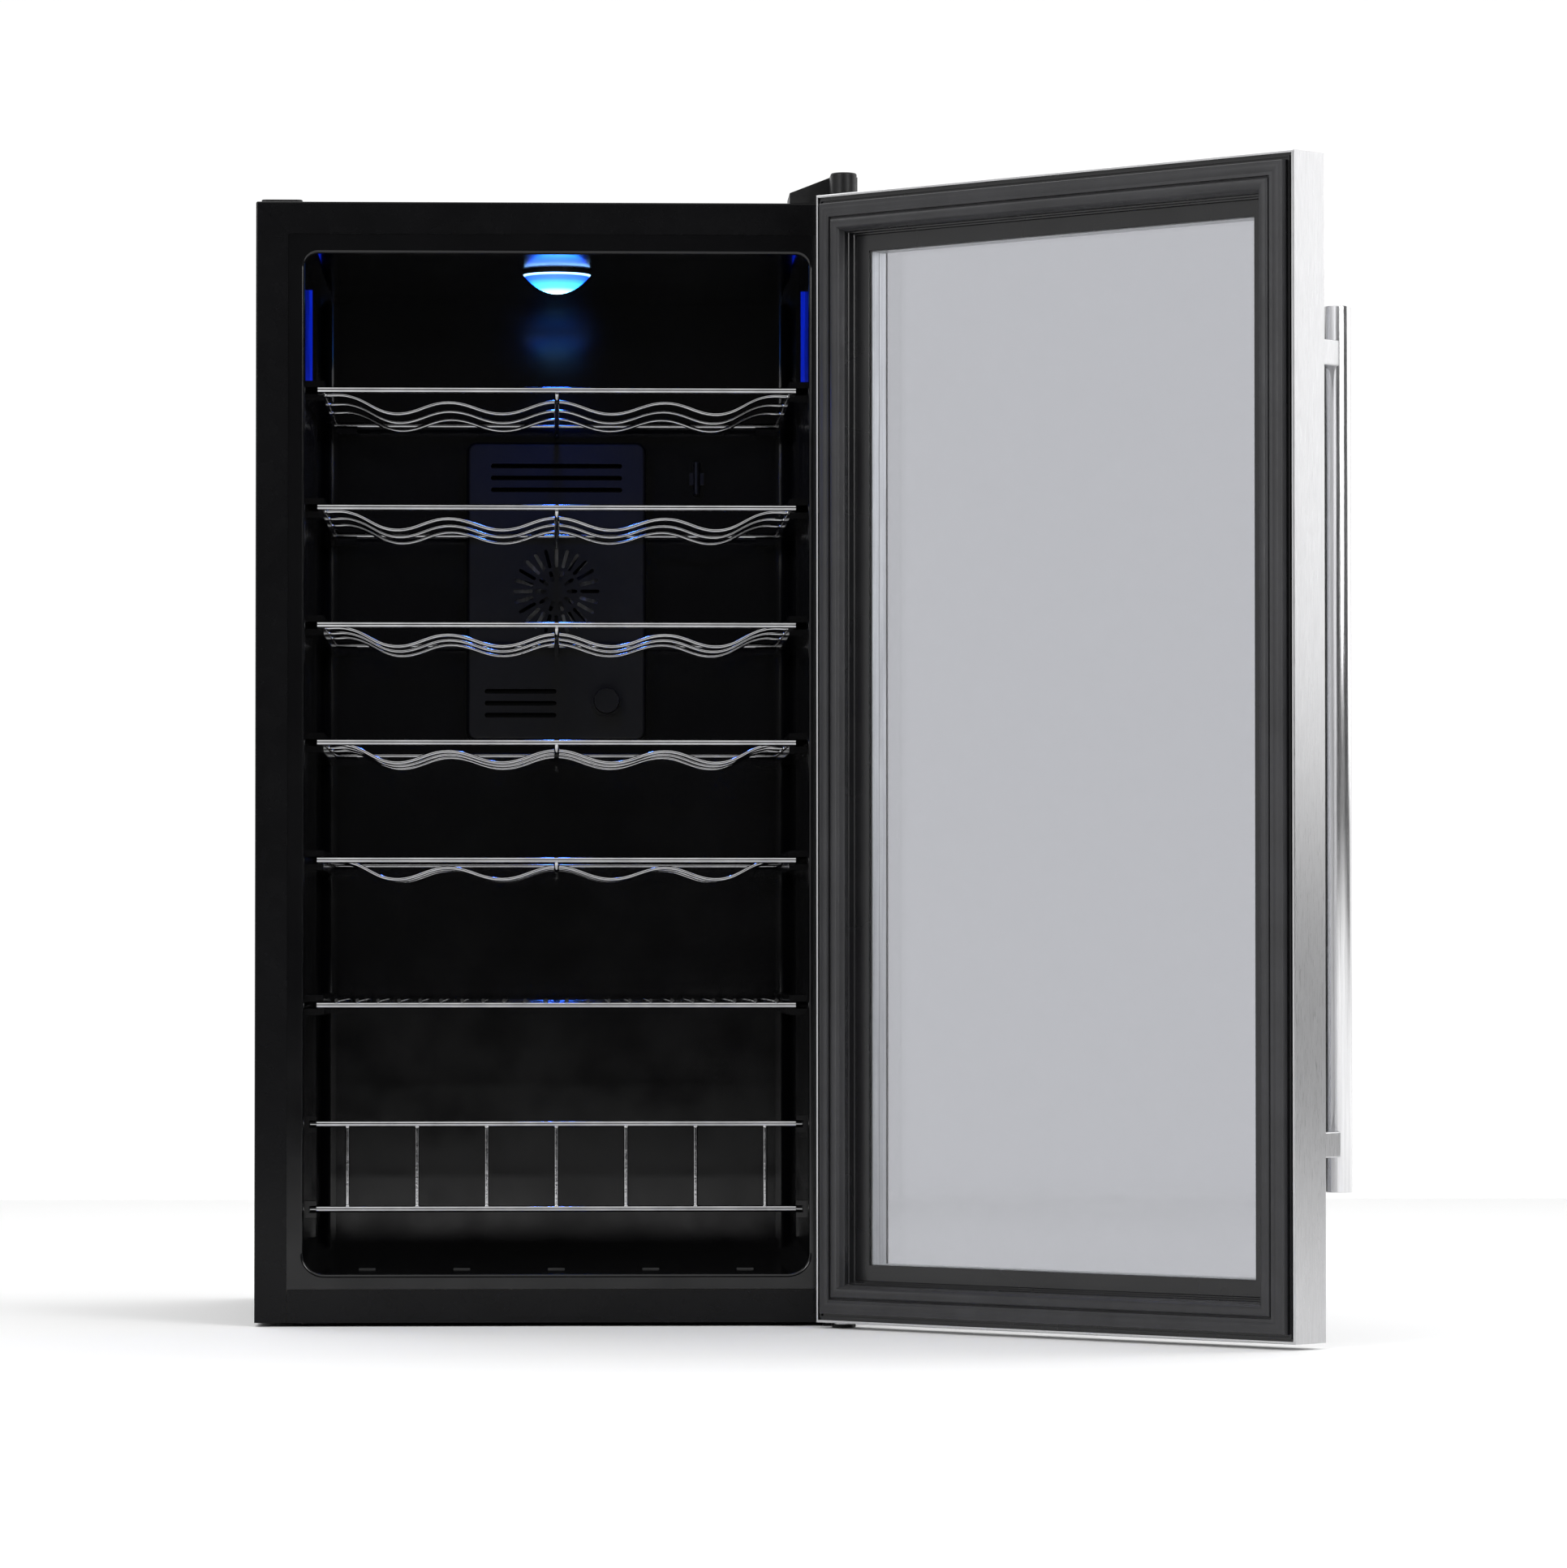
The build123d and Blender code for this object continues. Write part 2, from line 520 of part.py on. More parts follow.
with BuildPart() as thermostat_knob:
    with BuildSketch(facing(KNOB_BACK_Y)):
        with Locations(KNOB_PLACE):
            Circle(13.0)
    extrude(amount=3.0)
    with BuildSketch(facing(KNOB_BACK_Y - 3.0)):
        with Locations(KNOB_PLACE):
            Circle(11.0)
            with PolarLocations(11.8, 16):
                Circle(1.2, mode=Mode.SUBTRACT)
    extrude(amount=9.0, taper=4)
    with BuildSketch(facing(KNOB_BACK_Y - 12.0)):
        with Locations((KNOB_PLACE[0], KNOB_PLACE[1] + 5.0)):
            Rectangle(1.4, 8.0)
    extrude(amount=-0.8, mode=Mode.SUBTRACT)
    with BuildSketch(facing(KNOB_BACK_Y)):
        with Locations(KNOB_PLACE):
            Circle(KNOB_SHAFT)
    extrude(amount=-(SWITCH_FRONT_Y - KNOB_BACK_Y + 9.0))
keep(thermostat_knob.part, "thermostat_knob")

# Temperature sensor in its clip on the back wall.
SENSOR_PLACE = (118.0, 690.0)
with BuildPart() as temperature_sensor:
    with Locations((SENSOR_PLACE[0], CAVITY_BACK_Y - 3.5, SENSOR_PLACE[1])):
        Box(12.0, 7.0, 10.0)
    with BuildSketch(Plane.XY.offset(SENSOR_PLACE[1] - 14.0)):
        with Locations((SENSOR_PLACE[0], CAVITY_BACK_Y - 6.0)):
            Circle(3.0)
    extrude(amount=28.0)
    fillet(temperature_sensor.faces().sort_by(Axis.Z)[0].edges(), 2.0)
keep(temperature_sensor.part, "temperature_sensor")

# Vented cover over the hot sink, its fan, the power supply and the control board.
COVER_WALL = 2.0
COVER_BACK_Y = PANEL_FACE_Y + REAR_COVER_DEPTH
VENT_ROWS = 5
with BuildPart() as rear_cover:
    with BuildSketch(facing(PANEL_FACE_Y)):
        with Locations((0, UNIT_HEIGHT)):
            RectangleRounded(REAR_COVER_WIDTH, REAR_COVER_HEIGHT, 10.0)
    extrude(amount=-REAR_COVER_DEPTH)
    fillet(rear_cover.faces().sort_by(Axis.Y)[-1].edges(), 5.0)
    with BuildSketch(facing(PANEL_FACE_Y)):
        with Locations((0, UNIT_HEIGHT)):
            RectangleRounded(REAR_COVER_WIDTH + 2 * COVER_TAB, REAR_COVER_HEIGHT - 20.0, 6.0)
    extrude(amount=-COVER_WALL)
    with BuildSketch(facing(PANEL_FACE_Y)):
        with Locations((0, UNIT_HEIGHT)):
            RectangleRounded(REAR_COVER_WIDTH - 2 * COVER_WALL, REAR_COVER_HEIGHT - 2 * COVER_WALL, 8.0)
    extrude(amount=-(REAR_COVER_DEPTH - COVER_WALL), mode=Mode.SUBTRACT)
    with BuildSketch(facing(COVER_BACK_Y)):
        fan_grille_slots()
        with Locations((0, UNIT_HEIGHT)):
            for end in (-1, 1):
                with Locations((-38.0, end * 150.0)):
                    with GridLocations(0, 12.0, 1, VENT_ROWS):
                        SlotOverall(150.0, 5.0)
        with Locations(INLET_PLACE):
            Rectangle(28.0, 20.0)
    extrude(amount=COVER_WALL, mode=Mode.SUBTRACT)
    with BuildSketch(Plane.YZ):
        with Locations((PANEL_FACE_Y + 22.0, UNIT_HEIGHT)):
            with GridLocations(0, 12.0, 1, 24):
                SlotOverall(22.0, 4.0)
    extrude(amount=REAR_COVER_WIDTH, both=True, mode=Mode.SUBTRACT)
    with BuildSketch(facing(PANEL_FACE_Y)):
        with Locations(*COVER_SCREWS):
            Circle(PANEL_SCREW_RADIUS)
    extrude(amount=-COVER_WALL, mode=Mode.SUBTRACT)
keep(rear_cover.part, "rear_cover")


def pan_screws(places, surface, grip):
    """Pan-head screws driven forwards into the back: one solid for each place on the surface."""
    with BuildPart() as screws:
        with BuildSketch(facing(surface)):
            with Locations(*places):
                Circle(3.6)
        extrude(amount=-2.2)
        fillet(screws.faces().sort_by(Axis.Y)[-len(places):].edges(), 1.2)
        with BuildSketch(facing(surface)):
            with Locations(*places):
                Circle(PANEL_SCREW_RADIUS)
        extrude(amount=grip)
        with BuildSketch(facing(surface + 2.2)):
            with Locations(*places):
                Rectangle(3.6, 0.9)
                Rectangle(0.9, 3.6)
        extrude(amount=1.2, mode=Mode.SUBTRACT)
    return screws.part


keep(pan_screws(PANEL_SCREWS, PANEL_FACE_Y, 8.0), "back_panel_screws")
keep(pan_screws(COVER_SCREWS, PANEL_FACE_Y + COVER_WALL, 8.0), "rear_cover_screws")

# Switched power supply in its vented metal case.
SUPPLY_Z = UNIT_HEIGHT - 150.0
with BuildPart() as power_supply:
    with Locations((-25.0, PANEL_FACE_Y + 15.0, SUPPLY_Z)):
        Box(120.0, 28.0, 76.0)
    fillet(power_supply.edges().filter_by(Axis.Y), 2.0)
    with BuildSketch(facing(PANEL_FACE_Y + 29.0)):
        with Locations((-25.0, SUPPLY_Z)):
            with GridLocations(9.0, 9.0, 11, 6):
                Circle(2.2)
    extrude(amount=1.0, mode=Mode.SUBTRACT)
keep(power_supply.part, "power_supply")

# Control board with its relay, capacitors, connectors and heat-sunk switch.
BOARD_Z = UNIT_HEIGHT + 150.0
BOARD_Y = PANEL_FACE_Y + 8.0
with BuildPart() as control_board:
    with Locations((-20.0, BOARD_Y, BOARD_Z)):
        Box(110.0, 1.6, 66.0)
    with Locations((-55.0, BOARD_Y + 8.0, BOARD_Z + 12.0), (-55.0, BOARD_Y + 8.0, BOARD_Z - 14.0)):
        Box(19.0, 15.0, 15.5)
    with Locations((10.0, BOARD_Y + 5.5, BOARD_Z - 24.0), (-18.0, BOARD_Y + 5.5, BOARD_Z - 24.0)):
        Box(20.0, 10.0, 7.0)
    with Locations((-15.0, BOARD_Y + 2.0, BOARD_Z + 2.0)):
        Box(14.0, 3.0, 14.0)
    with Locations((22.0, BOARD_Y + 9.0, BOARD_Z + 14.0)):
        Box(16.0, 17.0, 3.0)
    with BuildSketch(facing(BOARD_Y)):
        with Locations((4.0, BOARD_Z + 20.0), (-12.0, BOARD_Z + 22.0), (20.0, BOARD_Z - 2.0)):
            Circle(4.0)
    extrude(amount=-13.0)
    with BuildSketch(facing(PANEL_FACE_Y)):
        with Locations((-20.0, BOARD_Z)):
            with GridLocations(100.0, 56.0, 2, 2):
                Circle(3.0)
    extrude(amount=-8.0)
keep(control_board.part, "control_board")

# Mains inlet socket, with three blades in its well.
INLET_FLANGE = 2.0
with BuildPart() as power_inlet:
    with BuildSketch(facing(COVER_BACK_Y)):
        with Locations(INLET_PLACE):
            RectangleRounded(36.0, 27.0, 3.0)
    extrude(amount=-INLET_FLANGE)
    with BuildSketch(facing(COVER_BACK_Y)):
        with Locations(INLET_PLACE):
            Rectangle(27.6, 19.6)
    extrude(amount=22.0)
    with BuildSketch(facing(COVER_BACK_Y + INLET_FLANGE)) as well:
        with Locations(INLET_PLACE):
            Rectangle(24.0, 16.0)
        chamfer(well.vertices().group_by(Axis.Y)[-1], 4.0)
    extrude(amount=17.0, mode=Mode.SUBTRACT)
    with BuildSketch(facing(COVER_BACK_Y + INLET_FLANGE - 17.0)):
        with Locations(*[(INLET_PLACE[0] + x, INLET_PLACE[1] + z) for x, z in ((-7, -1), (0, 3), (7, -1))]):
            Rectangle(2.0, 4.0)
    extrude(amount=-14.0)
keep(power_inlet.part, "power_inlet")

# ======================= Lamp =======================

LAMP_Y = FRONT_Y + 140.0
LAMP_RADIUS = 27.0
LAMP_BASE = 3.0
LENS_DEPTH = 15.0
LENS_WALL = 2.0
LAMP_RIM_Z = OPENING_TOP - LAMP_BASE
with BuildPart() as lamp_base:
    with BuildSketch(Plane.XY.offset(LAMP_RIM_Z)):
        with Locations((0, LAMP_Y)):
            Circle(LAMP_RADIUS + 1.0)
    extrude(amount=LAMP_BASE)
    fillet(lamp_base.faces().sort_by(Axis.Z)[0].edges(), 1.0)
keep(lamp_base.part, "lamp_base")

with BuildPart() as led_board:
    with BuildSketch(Plane.XY.offset(LAMP_RIM_Z)):
        with Locations((0, LAMP_Y)):
            Circle(20.0)
    extrude(amount=-1.2)
    with BuildSketch(Plane.XY.offset(LAMP_RIM_Z - 1.2)):
        with Locations((0, LAMP_Y)):
            with PolarLocations(10.0, 6):
                Rectangle(5.0, 5.0)
    extrude(amount=-1.4)
keep(led_board.part, "led_board")


DOME_RADIUS = (LAMP_RADIUS**2 + LENS_DEPTH**2) / (2 * LENS_DEPTH)
with BuildPart() as lamp_lens:
    with Locations((0, LAMP_Y, LAMP_RIM_Z - LENS_DEPTH + DOME_RADIUS)):
        Sphere(DOME_RADIUS)
        Sphere(DOME_RADIUS - LENS_WALL, mode=Mode.SUBTRACT)
    split(bisect_by=Plane.XY.offset(LAMP_RIM_Z), keep=Keep.BOTTOM)
keep(lamp_lens.part, "lamp_lens")

# ======================= Hinges =======================

BRACKET = 3.0
NOSE_HALF = 8.0
NOSE_Z = DOOR_TOP + 1.5
with BuildPart() as top_hinge_bracket:
    with BuildSketch(Plane.YZ.offset(HINGE_X - NOSE_HALF)):
        with BuildLine():
            Polyline(
                (HINGE_Y, NOSE_Z),
                (FRONT_Y + 6.0, NOSE_Z),
                (FRONT_Y + 9.0, BODY_TOP),
                (FRONT_Y + 56.0, BODY_TOP),
                (FRONT_Y + 56.0, BODY_TOP + BRACKET),
                (FRONT_Y + 11.0, BODY_TOP + BRACKET),
                (FRONT_Y + 8.0, NOSE_Z + BRACKET),
                (HINGE_Y, NOSE_Z + BRACKET),
                close=True,
            )
        make_face()
    extrude(amount=2 * NOSE_HALF)
    with BuildSketch(Plane.XY.offset(NOSE_Z)):
        with Locations((HINGE_X, HINGE_Y)):
            Circle(NOSE_HALF)
    extrude(amount=BRACKET)
    with BuildSketch(Plane.XY.offset(BODY_TOP)):
        with Locations((215.0, FRONT_Y + 34.0)):
            RectangleRounded(32.0, 44.0, 4.0)
    extrude(amount=BRACKET)
    with BuildSketch(Plane.XY.offset(BODY_TOP - 1)):
        with Locations((HINGE_X, HINGE_Y)):
            Circle(PIN_RADIUS)
        with Locations(*HINGE_HOLES):
            Circle(HINGE_HOLE_RADIUS)
    extrude(amount=20.0, mode=Mode.SUBTRACT)
keep(top_hinge_bracket.part, "top_hinge_bracket")

PIN_REACH = 12.6  # how far each pin goes into the door
with BuildPart() as top_hinge_pin:
    with BuildSketch(Plane.XY.offset(DOOR_TOP - PIN_REACH)):
        with Locations((HINGE_X, HINGE_Y)):
            Circle(PIN_RADIUS)
    extrude(amount=PIN_REACH + 1.5 + BRACKET)
    with BuildSketch(Plane.XY.offset(NOSE_Z + BRACKET)):
        with Locations((HINGE_X, HINGE_Y)):
            Circle(6.5)
    extrude(amount=3.0)
    chamfer(top_hinge_pin.faces().sort_by(Axis.Z)[0].edges(), 0.8)
keep(top_hinge_pin.part, "top_hinge_pin")

# Moulded cap that hides the top hinge: a sloping body on the cabinet and a barrel over the pin.
COVER_LEFT = 182.0
COVER_TOP = 898.0
BARREL_RADIUS = 10.2
CAP_WALL = 2.0


def hinge_cap_body(shrink, floor):
    """Outline of the cap's body seen from the front, drawn in by shrink."""
    with BuildLine() as outline:
        Polyline(
            (COVER_LEFT + shrink, floor),
            (HALF_WIDTH - shrink, floor),
            (HALF_WIDTH - shrink, COVER_TOP - shrink),
            (HINGE_X - 9.0, COVER_TOP - shrink),
            (COVER_LEFT + shrink, COVER_TOP - 12.5 - shrink),
            close=True,
        )
    make_face(outline.edges())


def hinge_cap_barrel(shrink):
    """Outline of the barrel and its neck in plan, drawn in by shrink."""
    neck = FRONT_Y + 6.0 - HINGE_Y
    with Locations((HINGE_X, HINGE_Y)):
        Circle(BARREL_RADIUS - shrink)
    with Locations((HINGE_X, HINGE_Y + neck / 2)):
        Rectangle(2 * (BARREL_RADIUS - shrink), neck)


with BuildPart() as top_hinge_cover:
    with BuildSketch(Plane.XY.offset(DOOR_TOP + 1.0)):
        hinge_cap_barrel(0.0)
    extrude(amount=COVER_TOP - DOOR_TOP - 1.0)
    fillet(top_hinge_cover.faces().sort_by(Axis.Z)[-1].edges(), 1.6)
    with BuildSketch(facing(FRONT_Y + 1.0)):
        hinge_cap_body(0.0, BODY_TOP)
    extrude(amount=-62.0)
    fillet(top_hinge_cover.edges().filter_by(Axis.Z).group_by(Axis.Y)[-1], 5.0)
    with BuildSketch(facing(FRONT_Y + 1.0 + CAP_WALL)):
        hinge_cap_body(CAP_WALL, BODY_TOP - 1.0)
    extrude(amount=-(62.0 - 2 * CAP_WALL), mode=Mode.SUBTRACT)
    with BuildSketch(Plane.XY.offset(DOOR_TOP)):
        hinge_cap_barrel(CAP_WALL)
    extrude(amount=COVER_TOP - DOOR_TOP - CAP_WALL, mode=Mode.SUBTRACT)
keep(top_hinge_cover.part, "top_hinge_cover")

# Lower hinge: a flat plate under the base, and a pin with a collar that the door sits on.
LOWER_PLATE = 2.5
LOWER_PLATE_Z = BODY_BOTTOM - LOWER_PLATE
COLLAR_TOP = DOOR_BOTTOM - SLOT_PLAY
with BuildPart() as bottom_hinge_bracket:
    with BuildSketch(Plane.XY.offset(LOWER_PLATE_Z)):
        with Locations((220.0, FRONT_Y + 15.0)):
            Rectangle(24.0, 90.0)
        with Locations((HINGE_X, (HINGE_Y + FRONT_Y) / 2)):
            Rectangle(18.0, FRONT_Y - HINGE_Y)
        with Locations((HINGE_X, HINGE_Y)):
            Circle(9.0)
        with Locations((220.0, FRONT_Y - 16.0)):
            Rectangle(30.0, 28.0, mode=Mode.SUBTRACT)
        with Locations((HINGE_X, (HINGE_Y + FRONT_Y) / 2)):
            Rectangle(18.0, FRONT_Y - HINGE_Y + 6.0)
    extrude(amount=LOWER_PLATE)
    with BuildSketch(Plane.XY.offset(LOWER_PLATE_Z)):
        with Locations((HINGE_X, HINGE_Y)):
            Circle(PIN_RADIUS)
        with Locations(*BASE_SCREWS):
            Circle(HINGE_HOLE_RADIUS)
    extrude(amount=LOWER_PLATE, mode=Mode.SUBTRACT)
    with BuildSketch(Plane.XY.offset(LOWER_PLATE_Z)):
        with Locations(*BASE_SCREWS):
            Circle(4.6)
    extrude(amount=1.5, mode=Mode.SUBTRACT)
keep(bottom_hinge_bracket.part, "bottom_hinge_bracket")

with BuildPart() as bottom_hinge_pin:
    with BuildSketch(Plane.XY.offset(LOWER_PLATE_Z)):
        with Locations((HINGE_X, HINGE_Y)):
            Circle(PIN_RADIUS)
    extrude(amount=DOOR_BOTTOM + PIN_REACH - LOWER_PLATE_Z)
    with BuildSketch(Plane.XY.offset(BODY_BOTTOM)):
        with Locations((HINGE_X, HINGE_Y)):
            Circle(7.5)
    extrude(amount=COLLAR_TOP - BODY_BOTTOM)
    chamfer(bottom_hinge_pin.faces().sort_by(Axis.Z)[-1].edges(), 0.8)
keep(bottom_hinge_pin.part, "bottom_hinge_pin")

# Three screws down through the top bracket and two up through the lower plate.
with BuildPart() as hinge_screws:
    with BuildSketch(Plane.XY.offset(BODY_TOP + BRACKET)):
        with Locations(*HINGE_HOLES):
            Circle(4.2)
    extrude(amount=2.4)
    with BuildSketch(Plane.XY.offset(BODY_TOP + BRACKET)):
        with Locations(*HINGE_HOLES):
            Circle(HINGE_HOLE_RADIUS)
    extrude(amount=-13.0)
    with BuildSketch(Plane.XY.offset(BODY_TOP + BRACKET + 2.4)):
        with Locations(*HINGE_HOLES):
            Rectangle(4.4, 1.0)
            Rectangle(1.0, 4.4)
    extrude(amount=-1.4, mode=Mode.SUBTRACT)
    with BuildSketch(Plane.XY.offset(LOWER_PLATE_Z)):
        with Locations(*BASE_SCREWS):
            Circle(4.6)
    extrude(amount=1.5)
    with BuildSketch(Plane.XY.offset(LOWER_PLATE_Z)):
        with Locations(*BASE_SCREWS):
            Circle(HINGE_HOLE_RADIUS)
    extrude(amount=14.0)
keep(hinge_screws.part, "hinge_screws")

# Flat cap over the spare hinge holes on the left, with a peg in each hole.
with BuildPart() as spare_hinge_cap:
    with BuildSketch(Plane.XY.offset(BODY_TOP)):
        with Locations((-215.0, FRONT_Y + 31.0)):
            RectangleRounded(32.0, 54.0, 4.0)
    extrude(amount=2.0)
    fillet(spare_hinge_cap.faces().sort_by(Axis.Z)[-1].edges(), 0.8)
    with BuildSketch(Plane.XY.offset(BODY_TOP)):
        with Locations(*[(-x, y) for x, y in HINGE_HOLES]):
            Circle(HINGE_HOLE_RADIUS - 0.1)
    extrude(amount=-6.0)
keep(spare_hinge_cap.part, "spare_hinge_cap")

# ======================= Feet =======================

for side, name in ((-1, "front_foot_left"), (1, "front_foot_right")):
    with BuildPart() as foot:
        with BuildSketch(Plane.XY):
            with Locations((side * FOOT_X, FRONT_FOOT_Y)):
                RegularPolygon(15.0, 12)
        extrude(amount=BODY_BOTTOM - SLOT_PLAY)
        chamfer(foot.faces().sort_by(Axis.Z)[0].edges(), 0.6)
        with BuildSketch(Plane.XY.offset(BODY_BOTTOM - SLOT_PLAY)):
            with Locations((side * FOOT_X, FRONT_FOOT_Y)):
                Circle(4.0)
        extrude(amount=19.0)
    keep(foot.part, name)

with BuildPart() as rear_feet:
    with BuildSketch(Plane.XY):
        with Locations((-FOOT_X, REAR_FOOT_Y), (FOOT_X, REAR_FOOT_Y)):
            Circle(14.0)
    extrude(amount=BODY_BOTTOM)
    chamfer(rear_feet.faces().group_by(Axis.Z)[0].edges(), 0.6)
keep(rear_feet.part, "rear_feet")

# ======================= Door, drawn shut =======================


def door_lap():
    """The way round the door's outer edge, from the middle of its bottom."""
    with BuildLine() as lap:
        Polyline(
            (0, DOOR_FACE_Y, DOOR_BOTTOM),
            (HALF_WIDTH, DOOR_FACE_Y, DOOR_BOTTOM),
            (HALF_WIDTH, DOOR_FACE_Y, DOOR_TOP),
            (-HALF_WIDTH, DOOR_FACE_Y, DOOR_TOP),
            (-HALF_WIDTH, DOOR_FACE_Y, DOOR_BOTTOM),
            (0, DOOR_FACE_Y, DOOR_BOTTOM),
        )
    return lap.wire()


# Sections of the door's frames: X runs in from the outer edge, Y out from the door's inner face.
SECTION = Plane(origin=(0, DOOR_FACE_Y, DOOR_BOTTOM), x_dir=(0, 0, 1), z_dir=(1, 0, 0))


def door_ring(*points):
    """A mitred frame round the whole door, from the corner points of its section."""
    with BuildPart() as ring:
        with BuildSketch(SECTION):
            with BuildLine():
                Polyline(*points, close=True)
            make_face()
        sweep(path=door_lap(), transition=Transition.RIGHT)
    return ring.part


SKIN_FRONT = DOOR_THICK - STEEL
EDGE_BREAK = 0.6  # bevel along the folds of the steel wrap
POST_PLACES = [(HANDLE_X, DOOR_MID - POST_SPAN / 2), (HANDLE_X, DOOR_MID + POST_SPAN / 2)]
HANDLE_SCREW_RADIUS = 2.5

# Stainless steel wrap: a thin lip inside, the edge, and the broad front frame.
with BuildPart() as door_skin:
    add(
        door_ring(
            (0, EDGE_BREAK),
            (EDGE_BREAK, 0),
            (2.0, 0),
            (2.0, STEEL),
            (STEEL, STEEL),
            (STEEL, SKIN_FRONT),
            (WINDOW_INSET, SKIN_FRONT),
            (WINDOW_INSET, DOOR_THICK),
            (EDGE_BREAK, DOOR_THICK),
            (0, DOOR_THICK - EDGE_BREAK),
        )
    )
    with Locations((HINGE_X, HINGE_Y, DOOR_TOP), (HINGE_X, HINGE_Y, DOOR_BOTTOM)):
        Cylinder(PIN_RADIUS + 0.8, 4.0, mode=Mode.SUBTRACT)
    with BuildSketch(facing(DOOR_FACE_Y - DOOR_THICK)):
        with Locations(*POST_PLACES):
            Circle(HANDLE_SCREW_RADIUS)
    extrude(amount=-2.0, mode=Mode.SUBTRACT)
keep_on_door(door_skin.part, "door_skin")

# Black moulded frame: a groove and a ridge, the seat of the gasket, and a stepped reveal down to the glass.
BUSH_RADIUS = 6.0
MOULDING = 2.5
with BuildPart() as door_inner_frame:
    add(
        door_ring(
            (0.9, 0.9),
            (2.1, 0.9),
            (2.1, 1.8),
            (3.9, 1.8),
            (3.9, 0.4),
            (5.1, 0.4),
            (5.1, 1.8),
            (7.0, 1.8),
            (7.0, 0.0),
            (30.0, 0.0),
            (30.6, 3.4),
            (31.4, 3.7),
            (31.8, 8.5),
            (32.6, 8.8),
            (33.0, 10.6),
            (33.0, 12.0),
            (36.5, 12.0),
            (36.5, SKIN_FRONT),
            (34.0, SKIN_FRONT),
            (34.0, 14.5),
            (30.4, 14.5),
            (28.5, 4.3),
            (3.4, 4.3),
            (3.4, SKIN_FRONT),
            (0.9, SKIN_FRONT),
        )
    )
    with Locations((HINGE_X, HINGE_Y, DOOR_TOP), (HINGE_X, HINGE_Y, DOOR_BOTTOM)):
        Cylinder(BUSH_RADIUS, 10.0, mode=Mode.SUBTRACT)
keep_on_door(door_inner_frame.part, "door_inner_frame")

# Magnetic gasket: a sloping outer leaf, a crease, and the soft bulb inside it.
GASKET_CREST = -7.7
with BuildPart() as door_gasket:
    with BuildSketch(SECTION):
        with BuildLine():
            Polyline((30.0, 0), (7.3, 0), (7.3, -5.0), (18.2, -7.2), (18.2, -5.6), (19.2, -5.6), (19.2, -6.6))
            ThreePointArc((19.2, -6.6), (21.6, GASKET_CREST), (24.4, -7.4))
            ThreePointArc((24.4, -7.4), (28.3, -4.7), (30.0, 0))
        make_face()
    sweep(path=door_lap(), transition=Transition.RIGHT)
keep_on_door(door_gasket.part, "door_gasket")

# Flat mitred frame that clamps the inner pane.
keep_on_door(
    door_ring((33.2, 10.6), (45.1, 10.6), (WINDOW_INSET, 11.0), (WINDOW_INSET, 12.0), (33.2, 12.0)),
    "glazing_frame",
)

# Sealed double glazing: two panes and the aluminium bar between them.
for depth, name in ((INNER_PANE_DEPTH, "inner_glass"), (OUTER_PANE_DEPTH, "outer_glass")):
    with BuildPart() as pane:
        with BuildSketch(facing(DOOR_FACE_Y - depth)):
            with Locations((0, DOOR_MID)):
                Rectangle(CABINET_WIDTH - 2 * PANE_INSET, DOOR_TOP - DOOR_BOTTOM - 2 * PANE_INSET)
        extrude(amount=GLASS_THICK)
    keep_on_door(pane.part, name)

SPACER_TOP = INNER_PANE_DEPTH + GLASS_THICK
keep_on_door(
    door_ring(
        (40.0, SPACER_TOP),
        (46.0, SPACER_TOP),
        (46.0, 23.4),
        (45.6, 23.7),
        (45.6, 24.3),
        (46.0, 24.6),
        (46.0, OUTER_PANE_DEPTH),
        (40.0, OUTER_PANE_DEPTH),
    ),
    "glass_spacer",
)

# Plastic bushes in the top and bottom of the door, which turn on the hinge pins.
BUSH_LENGTH = 13.0
with BuildPart() as hinge_bushes:
    for start, way in ((DOOR_TOP - STEEL, -1), (DOOR_BOTTOM + STEEL, 1)):
        with BuildSketch(Plane.XY.offset(start)):
            with Locations((HINGE_X, HINGE_Y)):
                Circle(BUSH_RADIUS)
        extrude(amount=way * BUSH_LENGTH)
        with BuildSketch(Plane.XY.offset(start + way * MOULDING * 1.1)):
            with Locations((HINGE_X, HINGE_Y)):
                Circle(BUSH_RADIUS + 2.0)
        extrude(amount=way * 2.0)
        with BuildSketch(Plane.XY.offset(start)):
            with Locations((HINGE_X, HINGE_Y)):
                Circle(PIN_RADIUS + RUNNING_CLEARANCE)
        extrude(amount=way * BUSH_LENGTH, mode=Mode.SUBTRACT)
keep_on_door(hinge_bushes.part, "hinge_bushes")

# ======================= Handle =======================

HANDLE_LOW = DOOR_MID - HANDLE_LENGTH / 2
with BuildPart() as handle_tube:
    with BuildSketch(Plane.XY.offset(HANDLE_LOW)):
        with Locations((HANDLE_X, HANDLE_Y)):
            Circle(HANDLE_RADIUS)
            Circle(HANDLE_RADIUS - HANDLE_WALL, mode=Mode.SUBTRACT)
    extrude(amount=HANDLE_LENGTH)
    ends = handle_tube.edges().filter_by(GeomType.CIRCLE).filter_by(lambda e: e.radius > HANDLE_RADIUS - 0.1)
    fillet(ends, 1.0)
keep_on_door(handle_tube.part, "handle_tube")

with BuildPart() as handle_end_caps:
    for end, way in ((HANDLE_LOW, 1), (HANDLE_LOW + HANDLE_LENGTH, -1)):
        with BuildSketch(Plane.XY.offset(end)):
            with Locations((HANDLE_X, HANDLE_Y)):
                Circle(HANDLE_RADIUS - HANDLE_WALL)
        extrude(amount=way * 6.0)
keep_on_door(handle_end_caps.part, "handle_end_caps")

